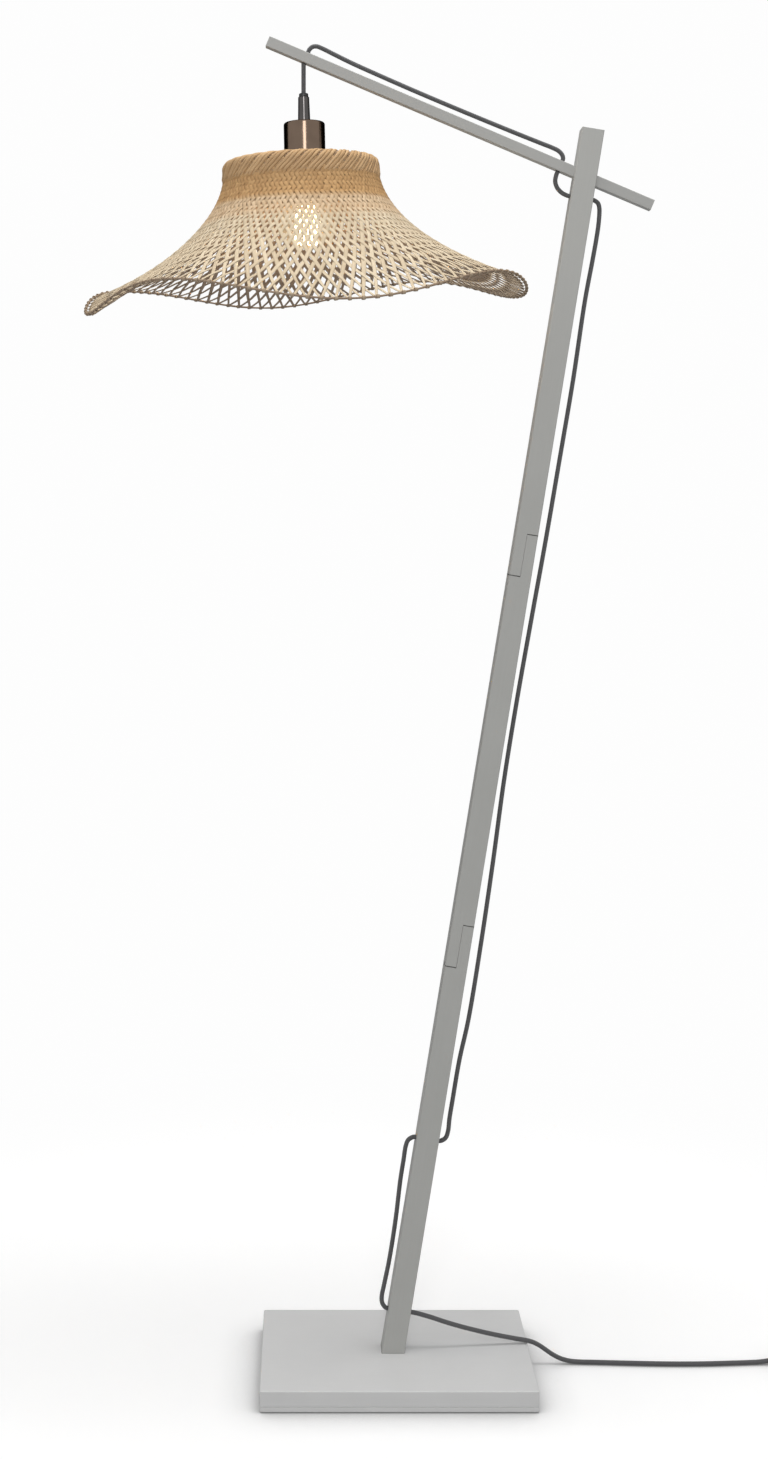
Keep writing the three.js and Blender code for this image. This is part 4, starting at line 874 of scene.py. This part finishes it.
def make_shade():
    low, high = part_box("drop_cord_upper")
    neck = Matrix.Translation(((low.x + high.x) / 2, 0, high.z + FLEX_GAP / 2 - DROP_LENGTH))
    pendant = neck @ Matrix.Rotation(PENDANT_TILT, 4, "Y")
    lean = math.sin(math.hypot(SHADE_SIDE_TILT, SHADE_FRONT_TILT))
    place = Matrix.Translation((-SHADE_OFFSET, 0, -CROWN_DEPTH - CUP_RADIUS * lean))
    tilt = Matrix.Rotation(SHADE_FRONT_TILT, 4, "X") @ Matrix.Rotation(SHADE_SIDE_TILT, 4, "Y")
    dress = (pendant @ place @ tilt, bamboo())

    strands = weave_strands("strands_right", 1, *dress)
    weave_strands("strands_left", -1, *dress)
    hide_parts("woven_shade")
    shoulder_ropes("shoulder_ropes", 1, 0.3 * MM, STRIP_INSIDE, *dress)
    # The ropes underneath take mostly the darker inner colour: painted shade between the ropes above them
    shoulder_ropes("shoulder_under_ropes", -1, -1.3 * MM, [0.6] * len(REED), *dress)
    crown_coil(*dress)
    lining_splints(*dress)
    rim = rim_strand(*dress)
    rim_wraps(*dress)
    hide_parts("brim_hoop")


# Bulb
def filament_cage():
    """The bulb's filament: one strand that goes up and down round the stem."""
    strands, rows, bend_steps = 18, 14, 7
    foot, waist, top = -45 * MM, -22 * MM, -5 * MM
    wide, narrow, thick = 12.5 * MM, 8.5 * MM, 0.65 * MM
    spacing = 2 * math.pi / strands
    bend = np.linspace(0, math.pi, bend_steps)[1:-1]
    angles, heights = [], []
    for strand in range(strands):
        start, end = (foot, top) if strand % 2 == 0 else (top, foot)
        reach = math.copysign((wide if end == foot else narrow) * spacing / 2, end - start)
        angles += [strand * spacing + np.zeros(rows), (strand + 0.5 - np.cos(bend) / 2) * spacing]
        heights += [np.linspace(start, end, rows), end + reach * np.sin(bend)]
    height = np.concatenate(heights)
    outward = outward_at(np.concatenate(angles))
    radius = np.interp(height, [foot, waist, top], [wide, wide, narrow])
    line = (outward * radius[:, None] + height[:, None] * UP)[None]
    sides, ups = laid_on(line, outward[None], closed=True)
    swept = sweep(line, sides * thick, ups * thick, circle(6), closed=True)
    low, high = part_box("bulb_stem")
    matrix = Matrix.Translation((low + high) / 2) @ Matrix.Rotation(PENDANT_TILT, 4, "Y")
    finish = nodes["bulb_stem"].data.materials[0]
    new_piece("filament_cage", *swept, "pendant", "bulb_glow", finish, matrix)


def bulb_light():
    low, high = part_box("bulb_glass")
    data = bpy.data.lights.new("bulb_light", "POINT")
    data.energy = 0.7
    data.color = (1.0, 0.83, 0.62)
    data.shadow_soft_size = 24 * MM
    light = new_object("bulb_light", data)
    light.location = (low + high) / 2
    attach(light, "pendant")


# Stage: a pale floor, a white world, soft lamps and two black cards
WORLD_LIGHT = 0.42
BACKDROP_WHITE = 0.985
FLOOR_HALF = 8.0
FLOOR_DROP = -0.2 * MM
CARD_HEIGHT = 3.2


def area_lamp(name, place, target, size, power):
    data = bpy.data.lights.new(name, "AREA")
    data.shape = "RECTANGLE"
    data.size, data.size_y = size
    data.energy = power
    lamp = new_object(name, data)
    lamp.location = place
    lamp.rotation_euler = (Vector(target) - Vector(place)).to_track_quat("-Z", "Y").to_euler()
    return lamp


def dark_card(name, first, second):
    """A studio's black card: it shows in polished metal alone and takes no light from anything else."""
    corners = [(*first, 0), (*second, 0), (*second, CARD_HEIGHT), (*first, CARD_HEIGHT)]
    mesh = bpy.data.meshes.new(name)
    mesh.from_pydata(corners, [], [(0, 1, 2, 3)])
    material, tree, surface = new_material(name)
    fill_inputs(tree, surface, {"Base Color": (0.01, 0.01, 0.01, 1), "Roughness": 1})
    mesh.materials.append(material)
    card = new_object(name, mesh)
    card.visible_camera = card.visible_diffuse = card.visible_shadow = card.visible_transmission = False


def seen_directly(tree):
    """1 for rays that come straight from the camera or by a mirror or glass."""
    path = add_node(tree, "ShaderNodeLightPath").outputs
    seen = maths(tree, "MAXIMUM", path["Is Camera Ray"], path["Is Glossy Ray"])
    return maths(tree, "MAXIMUM", seen, path["Is Transmission Ray"])


def make_world():
    world = bpy.data.worlds.new("studio")
    bpy.context.scene.world = world
    world.use_nodes = True
    tree = world.node_tree
    tree.nodes.clear()
    strength = ramp(tree, seen_directly(tree), 0, 1, WORLD_LIGHT, BACKDROP_WHITE)
    back = add_node(tree, "ShaderNodeBackground", {"Color": (1, 1, 1, 1), "Strength": strength})
    add_node(tree, "ShaderNodeOutputWorld", {0: back.outputs[0]})


def floor_material():
    """Matt near the object, where it keeps the shadow, and as white as the backdrop further out. Light that
    bounces off it finds it plain grey."""
    material, tree, surface = new_material("floor")
    tree.nodes.remove(surface)
    spread = add_node(tree, "ShaderNodeVectorMath", {0: coordinates(tree)}, operation="LENGTH")
    away = add_node(tree, "ShaderNodeMapRange",
                    {"Value": spread.outputs["Value"], "From Min": 0.4, "From Max": 1.1},
                    interpolation_type="SMOOTHSTEP").outputs[0]
    # Ambient occlusion darkens the floor's glow and colour close to the object: a painted contact shadow
    painted_contact_shadow = add_node(tree, "ShaderNodeAmbientOcclusion", {"Distance": 0.05}, samples=8).outputs["AO"]
    painted_contact_shadow = ramp(tree, painted_contact_shadow, 0.4, 1, 0.45, 1)
    shade = add_node(tree, "ShaderNodeCombineColor", {0: painted_contact_shadow, 1: painted_contact_shadow, 2: painted_contact_shadow}).outputs[0]
    glow = add_node(tree, "ShaderNodeEmission", {"Color": shade, "Strength": 0.2})
    matt_colour = blend_colour(tree, 1.0, shade, (0.88, 0.88, 0.88), "MULTIPLY")
    matt = add_node(tree, "ShaderNodeBsdfDiffuse", {"Color": matt_colour})
    near = add_node(tree, "ShaderNodeAddShader", {0: glow.outputs[0], 1: matt.outputs[0]})
    white = add_node(tree, "ShaderNodeEmission", {"Color": (1, 1, 1, 1), "Strength": BACKDROP_WHITE})
    bright = add_node(tree, "ShaderNodeMixShader", {0: away, 1: near.outputs[0], 2: white.outputs[0]})
    plain = add_node(tree, "ShaderNodeBsdfDiffuse", {"Color": (0.5, 0.5, 0.5, 1)})
    mixed = add_node(tree, "ShaderNodeMixShader",
                     {0: seen_directly(tree), 1: plain.outputs[0], 2: bright.outputs[0]})
    output = next(node for node in tree.nodes if node.type == "OUTPUT_MATERIAL")
    tree.links.new(mixed.outputs[0], output.inputs[0])
    return material


def make_floor():
    corners = [(x * FLOOR_HALF, y * FLOOR_HALF, FLOOR_DROP) for x, y in ((-1, -1), (1, -1), (1, 1), (-1, 1))]
    mesh = bpy.data.meshes.new("floor")
    mesh.from_pydata(corners, [], [(0, 1, 2, 3)])
    mesh.materials.append(floor_material())
    new_object("floor", mesh)


def make_lamps():
    area_lamp("front_strip", place=(-0.1, -3.2, 2.35), target=(-0.1, 0, 1.3), size=(0.8, 2.0), power=35)
    fill = area_lamp("side_fill", place=(-1.6, -2.4, 3.0), target=(0, 0, 0.7), size=(2.2, 2.2), power=8)
    overhead = area_lamp("overhead", place=(0.1, -0.1, 3.6), target=(0.1, -0.1, 0), size=(2.8, 0.8), power=66)
    for soft in (fill, overhead):
        soft.visible_glossy = False
    middle = -0.1
    for side in (-1, 1):
        dark_card(f"dark_card_{side + 2}", (middle + side * 1.7, 0.5), (middle + side * 0.3, 1.7))


bpy.context.scene.view_settings.view_transform = "Standard"
make_camera()
make_cords()
dress_nodes()
lap_lines()
filament_cage()
make_shade()
make_world()
make_floor()
make_lamps()
bulb_light()
